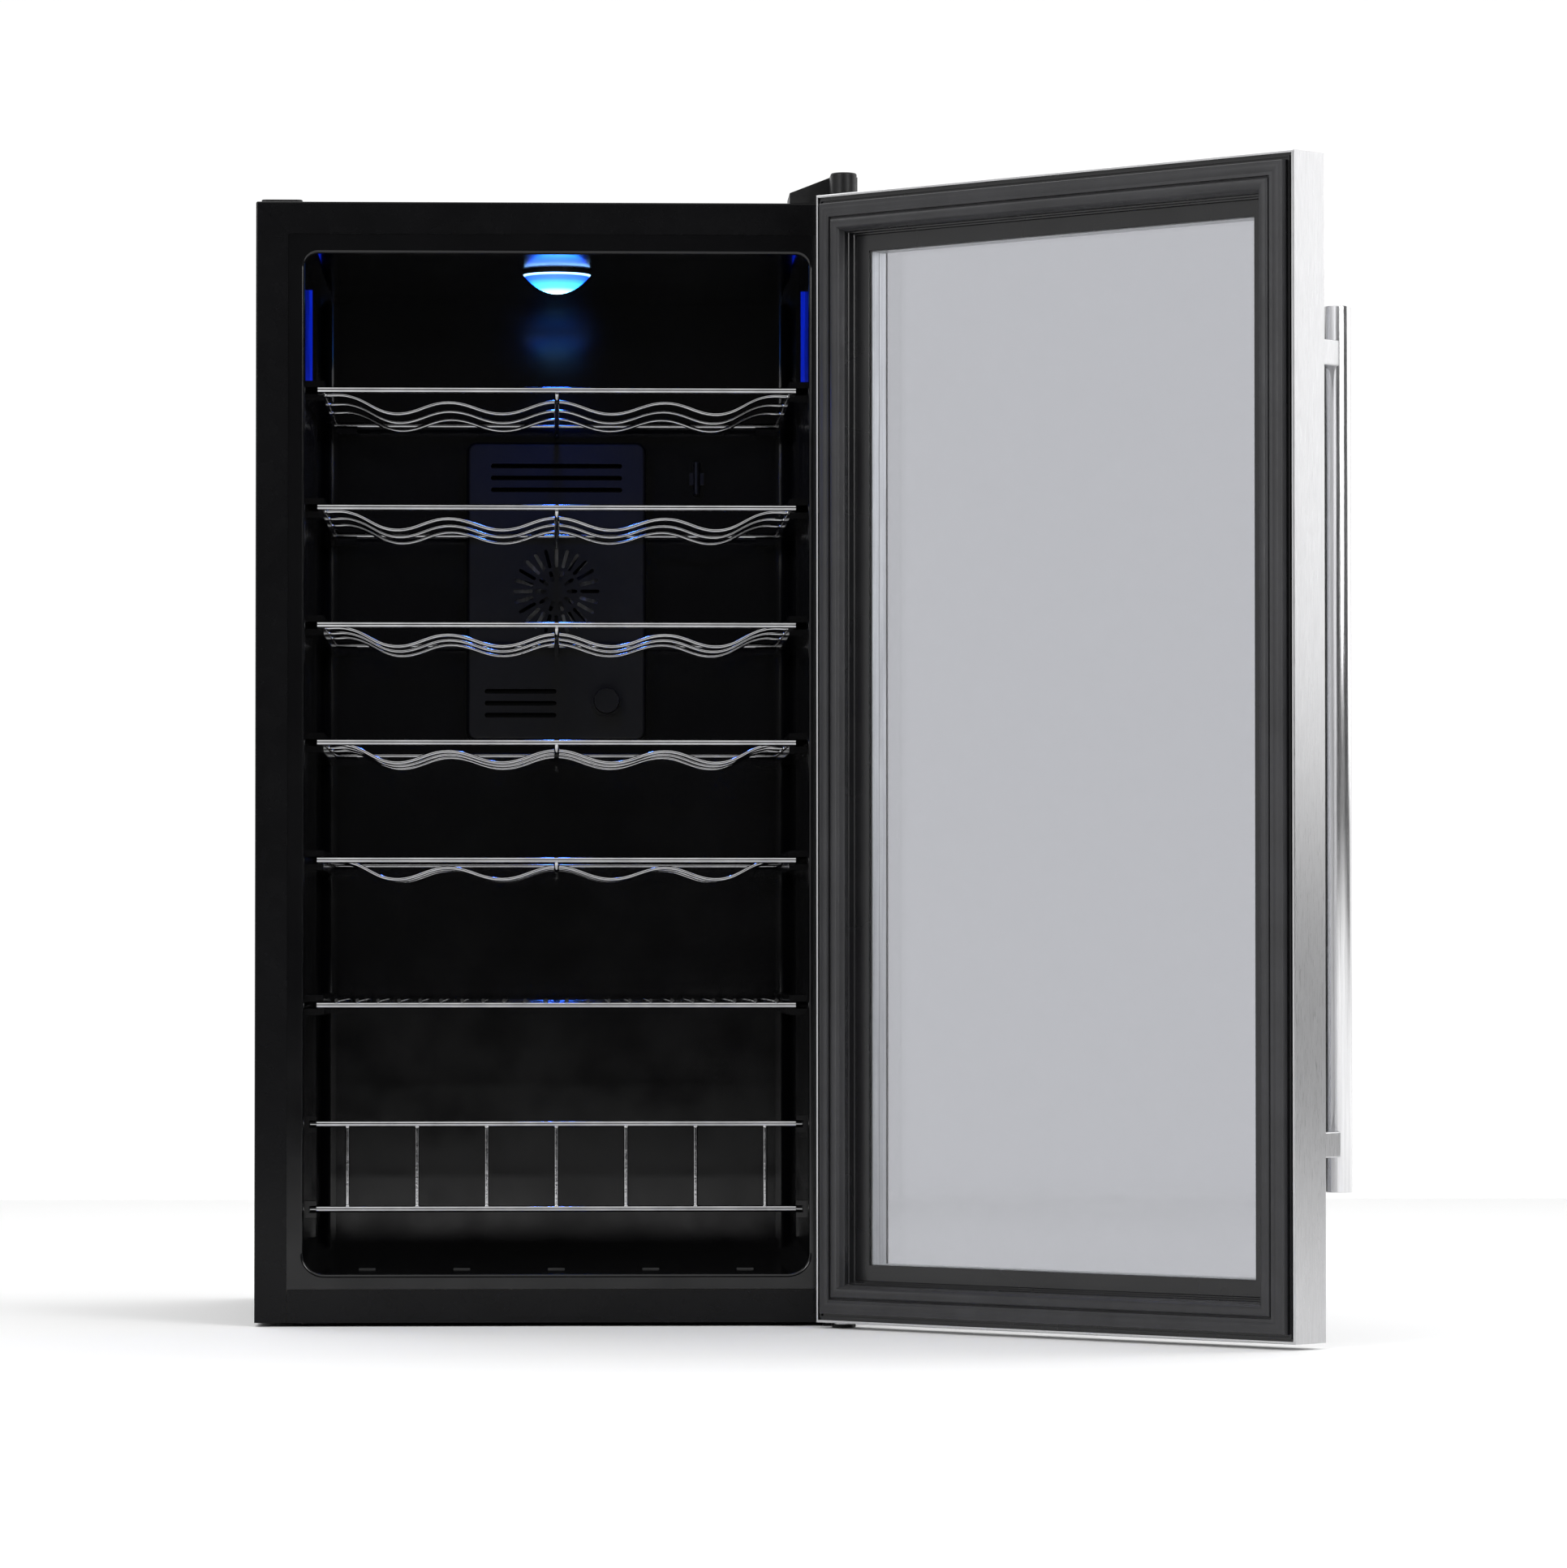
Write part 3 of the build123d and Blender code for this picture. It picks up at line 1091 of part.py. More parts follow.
POST_DRILL = 24.0
with BuildPart() as handle_posts:
    with BuildSketch(facing(DOOR_FACE_Y - DOOR_THICK)):
        with Locations(*POST_PLACES):
            RectangleRounded(POST_WIDTH, POST_HEIGHT, 1.0)
    extrude(amount=HANDLE_STANDOFF)
    with BuildSketch(Plane.XY.offset(HANDLE_LOW)):
        with Locations((HANDLE_X, HANDLE_Y)):
            Circle(HANDLE_RADIUS)
    extrude(amount=HANDLE_LENGTH, mode=Mode.SUBTRACT)
    with BuildSketch(facing(DOOR_FACE_Y - DOOR_THICK)):
        with Locations(*POST_PLACES):
            Circle(HANDLE_SCREW_RADIUS)
    extrude(amount=POST_DRILL, mode=Mode.SUBTRACT)
keep_on_door(handle_posts.part, "handle_posts")

SCREW_HEAD_Y = DOOR_FACE_Y - SKIN_FRONT + 2.6
with BuildPart() as handle_screws:
    with BuildSketch(facing(DOOR_FACE_Y - SKIN_FRONT)):
        with Locations(*POST_PLACES):
            Circle(4.5)
    extrude(amount=-2.6)
    with BuildSketch(facing(DOOR_FACE_Y - SKIN_FRONT)):
        with Locations(*POST_PLACES):
            Circle(HANDLE_SCREW_RADIUS)
    extrude(amount=STEEL + POST_DRILL - 2.0)
    with BuildSketch(facing(SCREW_HEAD_Y)):
        with Locations(*POST_PLACES):
            RegularPolygon(2.3, 6)
    extrude(amount=1.8, mode=Mode.SUBTRACT)
keep_on_door(handle_screws.part, "handle_screws")

# ======================= Shelves =======================


def shelf_frame():
    """Front bar, rear bar and the two side rods, in the part being built, at height zero."""
    for y in (SHELF_FRONT_Y, SHELF_BACK_Y):
        rod((-SHELF_HALF, y, 0), (SHELF_HALF, y, 0), FRAME_ROD)
    for x in (-SIDE_ROD_X, SIDE_ROD_X):
        rod((x, SHELF_FRONT_Y, 0), (x, SHELF_BACK_Y, 0), SIDE_ROD)


# Wave wires: level at the ends, with a cradle for each of four bottles.
CRADLE = -18.2  # corner points of the bent wire, before its bends round them off
RIDGE = -1.8
FLAT_END = 166.0
WAVE_POINTS = (
    (-SIDE_ROD_X, 0.0),
    (-FLAT_END, 0.0),
    (-1.5 * BOTTLE_PITCH, CRADLE),
    (-BOTTLE_PITCH, RIDGE),
    (-0.5 * BOTTLE_PITCH, CRADLE),
    (0.0, RIDGE + 1.0),
    (0.5 * BOTTLE_PITCH, CRADLE),
    (BOTTLE_PITCH, RIDGE),
    (1.5 * BOTTLE_PITCH, CRADLE),
    (FLAT_END, 0.0),
    (SIDE_ROD_X, 0.0),
)
WAVE_BENDS = (24.0, 44.0, 50.0, 50.0, 50.0, 50.0, 50.0, 44.0, 24.0)
SPINE_ROD = 2.0
SPINE_Z = -7.5
with BuildPart() as wave_shelf:
    shelf_frame()
    for setback in WAVE_SETBACKS:
        wave_y = SHELF_FRONT_Y + setback
        bent_rod([(x, wave_y, z) for x, z in WAVE_POINTS], WAVE_BENDS, WAVE_ROD)
    # a straight spine under the waves, turned up at each end into the frame
    bent_rod(
        [
            (0, SHELF_FRONT_Y, 0),
            (0, SHELF_FRONT_Y, SPINE_Z),
            (0, SHELF_BACK_Y, SPINE_Z),
            (0, SHELF_BACK_Y, 0),
        ],
        (4.0, 4.0),
        SPINE_ROD,
    )
for number, height in enumerate(WAVE_SHELF_HEIGHTS, start=1):
    keep(wave_shelf.part.moved(Location((0, 0, height))), f"wave_shelf_{number}")

# Flat shelf: straight wires over the front and rear bars and two cross bars.
WIRE_COUNT = 22
WIRE_PITCH = 16.4
WIRE_ROD = 1.5
WIRE_Z = FRAME_ROD + WIRE_ROD - 0.3
with BuildPart() as flat_shelf:
    shelf_frame()
    for y in (SHELF_FRONT_Y + 125.0, SHELF_FRONT_Y + 250.0):
        rod((-SIDE_ROD_X, y, 0), (SIDE_ROD_X, y, 0), SPINE_ROD)
    with BuildSketch(facing(SHELF_FRONT_Y - FRAME_ROD)):
        with Locations((0, WIRE_Z)):
            with GridLocations(WIRE_PITCH, 0, WIRE_COUNT, 1):
                Circle(WIRE_ROD)
    extrude(amount=-(SHELF_LENGTH + 2 * FRAME_ROD))
keep(flat_shelf.part.moved(Location((0, 0, FLAT_SHELF_HEIGHT))), "flat_shelf")

# Guard rail across the bottom compartment.
FENCE_HALF = 192.5
UPRIGHT_COUNT = 7
UPRIGHT_PITCH = 54.5
UPRIGHT_ROD = 1.75
with BuildPart() as guard_rail:
    for height in FENCE_HEIGHTS:
        rod((-FENCE_HALF, FENCE_Y, height), (FENCE_HALF, FENCE_Y, height), FRAME_ROD)
    with BuildSketch(Plane.XY.offset(FENCE_HEIGHTS[1])):
        with Locations((0, FENCE_Y)):
            with GridLocations(UPRIGHT_PITCH, 0, UPRIGHT_COUNT, 1):
                Circle(UPRIGHT_ROD)
    extrude(amount=FENCE_HEIGHTS[0] - FENCE_HEIGHTS[1])
keep(guard_rail.part, "guard_rail")
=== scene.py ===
# %% [markdown]
# # A wine cooler with its glass door standing open
# The cabinet, door, hinges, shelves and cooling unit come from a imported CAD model, which fixes every
# size and every moving body. This lesson dresses it: finishes for each real material, finer pieces
# where a CAD solid is too plain, and a small studio to see it in. All sizes are in metres.

# %% Load the frame
import json
import math

import bmesh
import bpy
from mathutils import Matrix, Vector


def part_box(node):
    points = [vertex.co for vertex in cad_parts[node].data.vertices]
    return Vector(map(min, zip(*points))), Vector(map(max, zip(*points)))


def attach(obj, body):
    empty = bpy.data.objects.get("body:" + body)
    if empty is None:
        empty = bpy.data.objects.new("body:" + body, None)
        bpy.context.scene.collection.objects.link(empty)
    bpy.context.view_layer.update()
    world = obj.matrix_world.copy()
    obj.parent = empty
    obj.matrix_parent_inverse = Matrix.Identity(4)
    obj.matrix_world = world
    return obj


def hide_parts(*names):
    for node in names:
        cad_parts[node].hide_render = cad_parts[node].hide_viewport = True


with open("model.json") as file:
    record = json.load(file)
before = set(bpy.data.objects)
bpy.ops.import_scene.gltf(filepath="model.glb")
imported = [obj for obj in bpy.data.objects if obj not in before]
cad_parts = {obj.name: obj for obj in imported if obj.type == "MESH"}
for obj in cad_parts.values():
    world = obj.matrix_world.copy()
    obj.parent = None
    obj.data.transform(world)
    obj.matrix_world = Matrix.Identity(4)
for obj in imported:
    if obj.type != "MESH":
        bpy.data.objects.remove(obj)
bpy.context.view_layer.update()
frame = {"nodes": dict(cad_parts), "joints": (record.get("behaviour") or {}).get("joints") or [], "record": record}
nodes = frame["nodes"]

# %% [markdown]
# ## Where the door hangs
# The door is at rest wide open. Its frames are easiest to draw as if it were shut, facing straight
# ahead, and then to swing round the hinge pins, just as the real one is built flat on a bench.

# %% The hinge and the shut door
door_hinge = next(joint for joint in frame["joints"] if joint["name"] == "door_hinge")
HINGE = Vector(door_hinge["pos_m"])
OPEN_ANGLE = -math.radians(door_hinge["range_deg"][0])
SWING = Matrix.Translation(HINGE) @ Matrix.Rotation(OPEN_ANGLE, 4, "Z") @ Matrix.Translation(-HINGE)
case_low, case_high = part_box("outer_wrap")
GASKET_GAP = 0.008
DOOR_HALF = case_high.x
DOOR_FACE_Y = case_low.y - GASKET_GAP
DOOR_BOTTOM = 0.0045
DOOR_TOP = 0.880
print("hinge", tuple(HINGE), "open by", round(math.degrees(OPEN_ANGLE)), "degrees")


# %% [markdown]
# ## Helpers for pieces
# Every new piece is a mesh that sits at the origin with its place in its vertices, rides on one body,
# stands for one CAD node and gets its finish. One helper does all three, so that no piece can be
# forgotten.

# %% Finish a piece
def finish_piece(name, bm, finish, body, slot, *replaced, smooth_angle=35):
    """Turn a bmesh into a piece of the object."""
    mesh = bpy.data.meshes.new(name)
    bm.to_mesh(mesh)
    bm.free()
    mesh.materials.append(finish)
    mesh.shade_smooth()
    mesh.set_sharp_from_angle(angle=math.radians(smooth_angle))
    piece = bpy.data.objects.new(name, mesh)
    bpy.context.scene.collection.objects.link(piece)
    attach(piece, body)
    if replaced:
        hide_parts(*replaced)
    print(name, len(mesh.vertices), "vertices")
    return piece


# %% [markdown]
# ## Helpers for finishes
# A finish starts as a Principled shader with plain values on its own sockets. Patterns are added
# after that: a noise that varies the gloss, a bump for grain, or a stretched noise for brushing.

# %% Start a finish
def new_finish(name, color, roughness, metallic=0.0, **sockets):
    """A material whose Principled shader has these plain values."""
    finish = bpy.data.materials.new(name)
    finish.use_nodes = True
    shader = finish.node_tree.nodes["Principled BSDF"]
    shader.inputs["Base Color"].default_value = (*color, 1.0)
    shader.inputs["Roughness"].default_value = roughness
    shader.inputs["Metallic"].default_value = metallic
    for socket, value in sockets.items():
        shader.inputs[socket.replace("_", " ")].default_value = value
    return finish


# %% Noise on the object's own coordinates
def noise(finish, scale, stretch=(1.0, 1.0, 1.0), detail=4.0):
    """The value of a noise pattern. A stretch below 1 draws the pattern out along that axis."""
    tree = finish.node_tree
    place = tree.nodes.new("ShaderNodeTexCoord")
    mapping = tree.nodes.new("ShaderNodeMapping")
    mapping.inputs["Scale"].default_value = stretch
    pattern = tree.nodes.new("ShaderNodeTexNoise")
    pattern.inputs["Scale"].default_value = scale
    pattern.inputs["Detail"].default_value = detail
    tree.links.new(place.outputs["Object"], mapping.inputs["Vector"])
    tree.links.new(mapping.outputs["Vector"], pattern.inputs["Vector"])
    return pattern.outputs["Fac"]


# %% Use a pattern for gloss, colour and bump
def vary_roughness(finish, pattern, low, high):
    """Let a pattern move the roughness between low and high."""
    tree = finish.node_tree
    spread = tree.nodes.new("ShaderNodeMapRange")
    spread.inputs["From Min"].default_value = 0.3
    spread.inputs["From Max"].default_value = 0.7
    spread.inputs["To Min"].default_value = low
    spread.inputs["To Max"].default_value = high
    tree.links.new(pattern, spread.inputs["Value"])
    tree.links.new(spread.outputs["Result"], tree.nodes["Principled BSDF"].inputs["Roughness"])


def vary_color(finish, pattern, dark, light, low=0.35, high=0.65):
    """Let a pattern move the colour between dark and light."""
    tree = finish.node_tree
    ramp = tree.nodes.new("ShaderNodeValToRGB")
    ramp.color_ramp.elements[0].position = low
    ramp.color_ramp.elements[0].color = (*dark, 1.0)
    ramp.color_ramp.elements[1].position = high
    ramp.color_ramp.elements[1].color = (*light, 1.0)
    tree.links.new(pattern, ramp.inputs["Fac"])
    tree.links.new(ramp.outputs["Color"], tree.nodes["Principled BSDF"].inputs["Base Color"])


def add_bump(finish, pattern, height, strength=1.0):
    """Let a pattern raise the surface by up to this height."""
    tree = finish.node_tree
    bump = tree.nodes.new("ShaderNodeBump")
    bump.inputs["Strength"].default_value = strength
    bump.inputs["Distance"].default_value = height
    tree.links.new(pattern, bump.inputs["Height"])
    tree.links.new(bump.outputs["Normal"], tree.nodes["Principled BSDF"].inputs["Normal"])


# %% [markdown]
# ## Satin black paint
# The case is steel sheet with baked black paint. It is not quite smooth: the spray leaves a fine
# orange peel that spreads highlights. A low bump at about a millimetre and a slow change of gloss
# give that without any visible pattern. A little clear coat keeps the folds crisp.

# %% Satin paint
satin_paint = new_finish(
    "satin_black_paint",
    (0.004, 0.004, 0.0045),
    0.26,
    Specular_IOR_Level=0.10,
    Coat_Weight=0.12,
    Coat_Roughness=0.1,
)
vary_color(satin_paint, noise(satin_paint, 14.0), (0.0034, 0.0034, 0.0038), (0.0046, 0.0046, 0.0051))
vary_roughness(satin_paint, noise(satin_paint, 60.0), 0.23, 0.30)
add_bump(satin_paint, noise(satin_paint, 900.0, detail=2.0), 0.00004)

# %% [markdown]
# ## Glossy black liner
# The liner is vacuum-formed from one sheet of black plastic. It mirrors the lamp softly. It is
# glossiest where the sheet was stretched, deep inside; here its gloss only varies a little at random.
# A slow wave in its surface bends reflections a little, as on any formed sheet.

# %% Liner plastic
liner_plastic = new_finish("liner_black_plastic", (0.0024, 0.0024, 0.0028), 0.13, Specular_IOR_Level=0.42)
vary_color(liner_plastic, noise(liner_plastic, 9.0), (0.0018, 0.0018, 0.0022), (0.0030, 0.0030, 0.0034))
vary_roughness(liner_plastic, noise(liner_plastic, 22.0), 0.10, 0.17)
add_bump(liner_plastic, noise(liner_plastic, 9.0, detail=1.0), 0.0006, 0.4)

# %% [markdown]
# ## Black moulded plastic
# Hinge caps, fan frames, knobs and covers are injection moulded with a fine spark-eroded grain. The
# grain is under half a millimetre, so it shows as a soft sheen and not as bumps.

# %% Moulded plastic
moulded_plastic = new_finish("grained_black_plastic", (0.006, 0.006, 0.0065), 0.42, Specular_IOR_Level=0.3)
vary_color(moulded_plastic, noise(moulded_plastic, 40.0), (0.005, 0.005, 0.0055), (0.0075, 0.0075, 0.008))
vary_roughness(moulded_plastic, noise(moulded_plastic, 350.0), 0.34, 0.5)
add_bump(moulded_plastic, noise(moulded_plastic, 2200.0, detail=3.0), 0.00006)

# %% [markdown]
# ## The door's black extrusion
# The inner frame of the door is extruded, so it is smoother than a moulding, with faint lines that
# run along it. Its upright and level members are one piece here, so the lines are kept very soft.

# %% Door plastic
door_plastic = new_finish("door_black_plastic", (0.008, 0.008, 0.009), 0.27, Specular_IOR_Level=0.5)
vary_color(door_plastic, noise(door_plastic, 18.0), (0.0065, 0.0065, 0.0075), (0.010, 0.010, 0.011))
vary_roughness(door_plastic, noise(door_plastic, 12.0, detail=2.0), 0.24, 0.30)
add_bump(door_plastic, noise(door_plastic, 1500.0, detail=2.0), 0.000012)

# %% [markdown]
# ## Brushed stainless steel
# An abrasive belt runs up the sheet and leaves short upright scratches. Noise that is stretched
# along Z draws them. They move the roughness, so that highlights break into streaks, and a trace of
# colour change keeps the broad faces from looking like grey paint.

# %% Brushed steel
GRAIN = (1.0, 1.0, 0.02)
brushed_steel = new_finish("brushed_stainless", (0.62, 0.62, 0.63), 0.3, 1.0, Anisotropic=0.4)
vary_color(brushed_steel, noise(brushed_steel, 2600.0, GRAIN), (0.60, 0.60, 0.61), (0.68, 0.68, 0.69))
vary_roughness(brushed_steel, noise(brushed_steel, 3400.0, GRAIN), 0.26, 0.36)
add_bump(brushed_steel, noise(brushed_steel, 4200.0, GRAIN, 2.0), 0.000006)

# %% [markdown]
# ## Polished tube
# The handle is the same steel, but drawn and buffed, so it mirrors the studio with crisp edges
# between light and dark. Only a faint lengthwise grain is left.

# %% Handle steel
handle_steel = new_finish("buffed_stainless", (0.72, 0.72, 0.73), 0.22, 1.0)
vary_color(handle_steel, noise(handle_steel, 700.0, GRAIN), (0.66, 0.66, 0.67), (0.76, 0.76, 0.77))
vary_roughness(handle_steel, noise(handle_steel, 1100.0, GRAIN), 0.18, 0.27)
add_bump(handle_steel, noise(handle_steel, 2400.0, GRAIN, 2.0), 0.000006)

# %% [markdown]
# ## Chromed wire
# Shelf wire is drawn, welded and plated. Chrome is nearly a mirror, and slightly bluer than
# stainless steel. Plating over drawn wire is a little wavy, which a soft noise in the gloss gives.

# %% Chrome
chrome = new_finish("chromed_wire", (0.46, 0.46, 0.47), 0.06, 1.0)
vary_color(chrome, noise(chrome, 60.0), (0.41, 0.41, 0.42), (0.51, 0.51, 0.52))
vary_roughness(chrome, noise(chrome, 240.0), 0.04, 0.10)
add_bump(chrome, noise(chrome, 420.0, detail=2.0), 0.00003, 0.6)

# %% [markdown]
# ## Zinc-plated sheet
# The base and the back are plain galvanised sheet. Zinc freezes in flat crystals called spangle: a
# Voronoi pattern gives each crystal its own shade of grey.

# %% Galvanised sheet
zinc_sheet = new_finish("zinc_plated_sheet", (0.42, 0.43, 0.44), 0.45, 1.0)
spangle_place = zinc_sheet.node_tree.nodes.new("ShaderNodeTexCoord")
spangle = zinc_sheet.node_tree.nodes.new("ShaderNodeTexVoronoi")
spangle.inputs["Scale"].default_value = 70.0
zinc_sheet.node_tree.links.new(spangle_place.outputs["Object"], spangle.inputs["Vector"])
spangle_shade = zinc_sheet.node_tree.nodes.new("ShaderNodeSeparateColor")
zinc_sheet.node_tree.links.new(spangle.outputs["Color"], spangle_shade.inputs["Color"])
vary_color(zinc_sheet, spangle_shade.outputs["Red"], (0.36, 0.37, 0.38), (0.50, 0.51, 0.52), 0.0, 1.0)
vary_roughness(zinc_sheet, noise(zinc_sheet, 45.0), 0.36, 0.52)

# %% [markdown]
# ## Aluminium, ceramic, board and foam
# These sit inside the covers. Each still gets the grain that it has in life: drawn lines on the heat
# sinks, a speckle in the ceramic, a faint weave in the circuit board and open cells in the foam.

# %% Cooling unit finishes
aluminium = new_finish("extruded_aluminium", (0.62, 0.63, 0.64), 0.35, 1.0)
vary_color(aluminium, noise(aluminium, 500.0, GRAIN), (0.56, 0.57, 0.58), (0.68, 0.69, 0.70))
vary_roughness(aluminium, noise(aluminium, 800.0, GRAIN), 0.28, 0.44)
ceramic = new_finish("white_ceramic", (0.82, 0.82, 0.79), 0.5)
vary_color(ceramic, noise(ceramic, 700.0), (0.76, 0.76, 0.73), (0.86, 0.86, 0.83))
circuit_board = new_finish("green_circuit_board", (0.02, 0.12, 0.05), 0.35)
vary_color(circuit_board, noise(circuit_board, 500.0), (0.014, 0.095, 0.04), (0.028, 0.15, 0.062))
foam = new_finish("rigid_foam", (0.75, 0.66, 0.42), 0.9)
vary_color(foam, noise(foam, 300.0), (0.68, 0.58, 0.35), (0.80, 0.72, 0.48))
add_bump(foam, noise(foam, 900.0), 0.0004)

# %% [markdown]
# ## Soft vinyl and rubber
# The gasket is extruded soft vinyl, dark grey and matt, with a little bloom. The rear feet are
# moulded rubber. Both scatter light at glancing angles, which a low sheen gives.

# %% Gasket and rubber
gasket_vinyl = new_finish("gasket_vinyl", (0.020, 0.020, 0.022), 0.5, Sheen_Weight=0.04)
vary_color(gasket_vinyl, noise(gasket_vinyl, 25.0), (0.019, 0.019, 0.021), (0.026, 0.026, 0.029))
vary_roughness(gasket_vinyl, noise(gasket_vinyl, 120.0), 0.42, 0.58)
add_bump(gasket_vinyl, noise(gasket_vinyl, 700.0), 0.00006)
rubber = new_finish("foot_rubber", (0.02, 0.02, 0.02), 0.7, Sheen_Weight=0.1)
vary_color(rubber, noise(rubber, 300.0), (0.016, 0.016, 0.016), (0.028, 0.028, 0.028))
add_bump(rubber, noise(rubber, 900.0), 0.0001)

# %% [markdown]
# ## Tinted glass
# The door has two toughened panes with a grey tint against sunlight. A Principled shader with full
# transmission makes each pane bend and tint the light on its way through. A trace of roughness and a
# very slow ripple, as roller marks in toughened glass, keep reflections from being perfect.

# %% Glass
tinted_glass = new_finish(
    "tinted_glass", (0.645, 0.650, 0.672), 0.04, Transmission_Weight=1.0, IOR=1.5, Specular_IOR_Level=0.5
)
add_bump(tinted_glass, noise(tinted_glass, 3.0, detail=0.0), 0.0003, 0.15)

# %% [markdown]
# ## The lamp's lens
# The lamp shines blue-white. Seen from outside, its lens is brightest over the diodes and deep blue
# towards its edge, with a thin light ring where it meets its base. Distance from the lamp's own axis
# drives a colour ramp, and the ramp drives the light.

# %% Lens
lamp_low, lamp_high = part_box("lamp_lens")
LAMP = Vector(((lamp_low.x + lamp_high.x) / 2, (lamp_low.y + lamp_high.y) / 2, lamp_high.z))
LENS_RADIUS = (lamp_high.x - lamp_low.x) / 2
lens_glow = new_finish("glowing_lens", (0.25, 0.45, 0.9), 0.12, Emission_Strength=5.5)
lens_tree = lens_glow.node_tree
lens_place = lens_tree.nodes.new("ShaderNodeTexCoord")
lens_centre = lens_tree.nodes.new("ShaderNodeMapping")
lens_centre.inputs["Location"].default_value = (-LAMP.x, -LAMP.y, 0.0)
lens_flat = lens_tree.nodes.new("ShaderNodeVectorMath")
lens_flat.operation = "MULTIPLY"
lens_flat.inputs[1].default_value = (1.0 / LENS_RADIUS, 1.0 / LENS_RADIUS, 0.0)
lens_distance = lens_tree.nodes.new("ShaderNodeVectorMath")
lens_distance.operation = "LENGTH"
lens_ramp = lens_tree.nodes.new("ShaderNodeValToRGB")
lens_tree.links.new(lens_place.outputs["Object"], lens_centre.inputs["Vector"])
lens_tree.links.new(lens_centre.outputs["Vector"], lens_flat.inputs[0])
lens_tree.links.new(lens_flat.outputs["Vector"], lens_distance.inputs[0])
lens_tree.links.new(lens_distance.outputs["Value"], lens_ramp.inputs["Fac"])
lens_tree.links.new(lens_ramp.outputs["Color"], lens_tree.nodes["Principled BSDF"].inputs["Emission Color"])
LENS_COLORS = (
    (0.0, (0.75, 1.0, 1.0)),
    (0.25, (0.25, 0.75, 1.0)),
    (0.55, (0.02, 0.30, 1.0)),
    (0.85, (0.0, 0.04, 0.75)),
    (0.94, (0.0, 0.02, 0.40)),
    (1.0, (0.25, 0.55, 1.0)),
)
for position, color in LENS_COLORS[1:-1]:
    lens_ramp.color_ramp.elements.new(position).color = (*color, 1.0)
lens_ramp.color_ramp.elements[0].color = (*LENS_COLORS[0][1], 1.0)
lens_ramp.color_ramp.elements[-1].color = (*LENS_COLORS[-1][1], 1.0)
print("lamp at", tuple(LAMP), "lens radius", LENS_RADIUS)

# %% [markdown]
# ## Dress the CAD nodes
# The shape of most nodes is already right, so they stay and only get their finish. The record lists
# which slot each node uses, and this table gives each slot its material.

# %% Give every node its finish
finish_of_slot = {
    "case_steel": satin_paint,
    "base_steel": zinc_sheet,
    "liner_plastic": liner_plastic,
    "foam": foam,
    "black_plastic": moulded_plastic,
    "rubber": rubber,
    "sink_aluminium": aluminium,
    "ceramic": ceramic,
    "board": circuit_board,
    "supply_case": aluminium,
    "lens": lens_glow,
    "hinge_steel": satin_paint,
    "bright_steel": handle_steel,
    "stainless": brushed_steel,
    "door_plastic": door_plastic,
    "gasket": gasket_vinyl,
    "glass": tinted_glass,
    "spacer_aluminium": aluminium,
    "chrome_wire": chrome,
}
for row in frame["record"]["subparts"]:
    node = nodes[row["node"]]
    finish = finish_of_slot[row["material_slot"]]
    if not node.material_slots:
        node.data.materials.append(finish)
    for material_slot in node.material_slots:
        material_slot.material = finish
print("dressed", len(nodes), "nodes")


# %% [markdown]
# ## Frames round the door
# The skin, the gasket and the glazing frame are all one section carried round a rectangle and
# mitred at its corners. So one helper draws the section at each corner and bridges from corner to
# corner. A section is a list of points: in from the door's outer edge, and out from its inner face.

# %% Carry a section round the door
def door_frame(section):
    """A mitred frame with this section, drawn on the shut door and swung open."""
    bm = bmesh.new()
    corners = []
    for side, end in ((-1, DOOR_BOTTOM), (1, DOOR_BOTTOM), (1, DOOR_TOP), (-1, DOOR_TOP)):
        upward = 1 if end == DOOR_BOTTOM else -1
        ring = [
            bm.verts.new((side * (DOOR_HALF - inward), DOOR_FACE_Y - out, end + upward * inward))
            for inward, out in section
        ]
        corners.append([bm.edges.new((ring[i - 1], ring[i])) for i in range(len(ring))])
    for i in range(4):
        bmesh.ops.bridge_loops(bm, edges=corners[i - 1] + corners[i])
    bmesh.ops.recalc_face_normals(bm, faces=bm.faces)
    bmesh.ops.transform(bm, matrix=SWING, verts=bm.verts)
    return bm


# %% [markdown]
# ## The gasket
# A refrigerator gasket is a soft hollow extrusion. From outside in, it has a flat leaf that springs
# off the frame, a crease, and a round bulb that holds the magnet. Its profile is drawn with arcs, so
# that the bulb catches a soft gradient, and its corners are welded mitres.

# %% Gasket
def arc(centre, radius, start, end, count):
    """Points on an arc of a section, from one angle to another in degrees."""
    angles = [math.radians(start + (end - start) * i / (count - 1)) for i in range(count)]
    return [(centre[0] + radius * math.cos(a), centre[1] - radius * math.sin(a)) for a in angles]


gasket_section = [
    (0.0298, 0.0),
    (0.0073, 0.0),
    (0.0073, -0.0040),
    (0.0079, -0.0049),
    *arc((0.0130, -0.0002), 0.0057, 120, 62, 8),
    (0.0181, -0.0060),
    (0.0186, -0.0034),
    (0.0193, -0.0034),
    *arc((0.0240, -0.0030), 0.0047, 165, 15, 14),
    (0.0290, -0.0012),
]
finish_piece("gasket", door_frame(gasket_section), gasket_vinyl, "door", "gasket", "door_gasket")

# %% [markdown]
# ## The glazing frame
# A flat black frame clamps the inner pane. It is glossy, and its inner edge is rounded over.

# %% Glazing frame
glazing_section = [
    (0.0332, 0.0120),
    (0.0332, 0.0106),
    (0.0446, 0.0106),
    (0.0452, 0.0108),
    (0.0455, 0.0113),
    (0.0455, 0.0120),
]
glazing = door_frame(glazing_section)
finish_piece("glazing_bead", glazing, door_plastic, "door", "door_plastic", "glazing_frame")


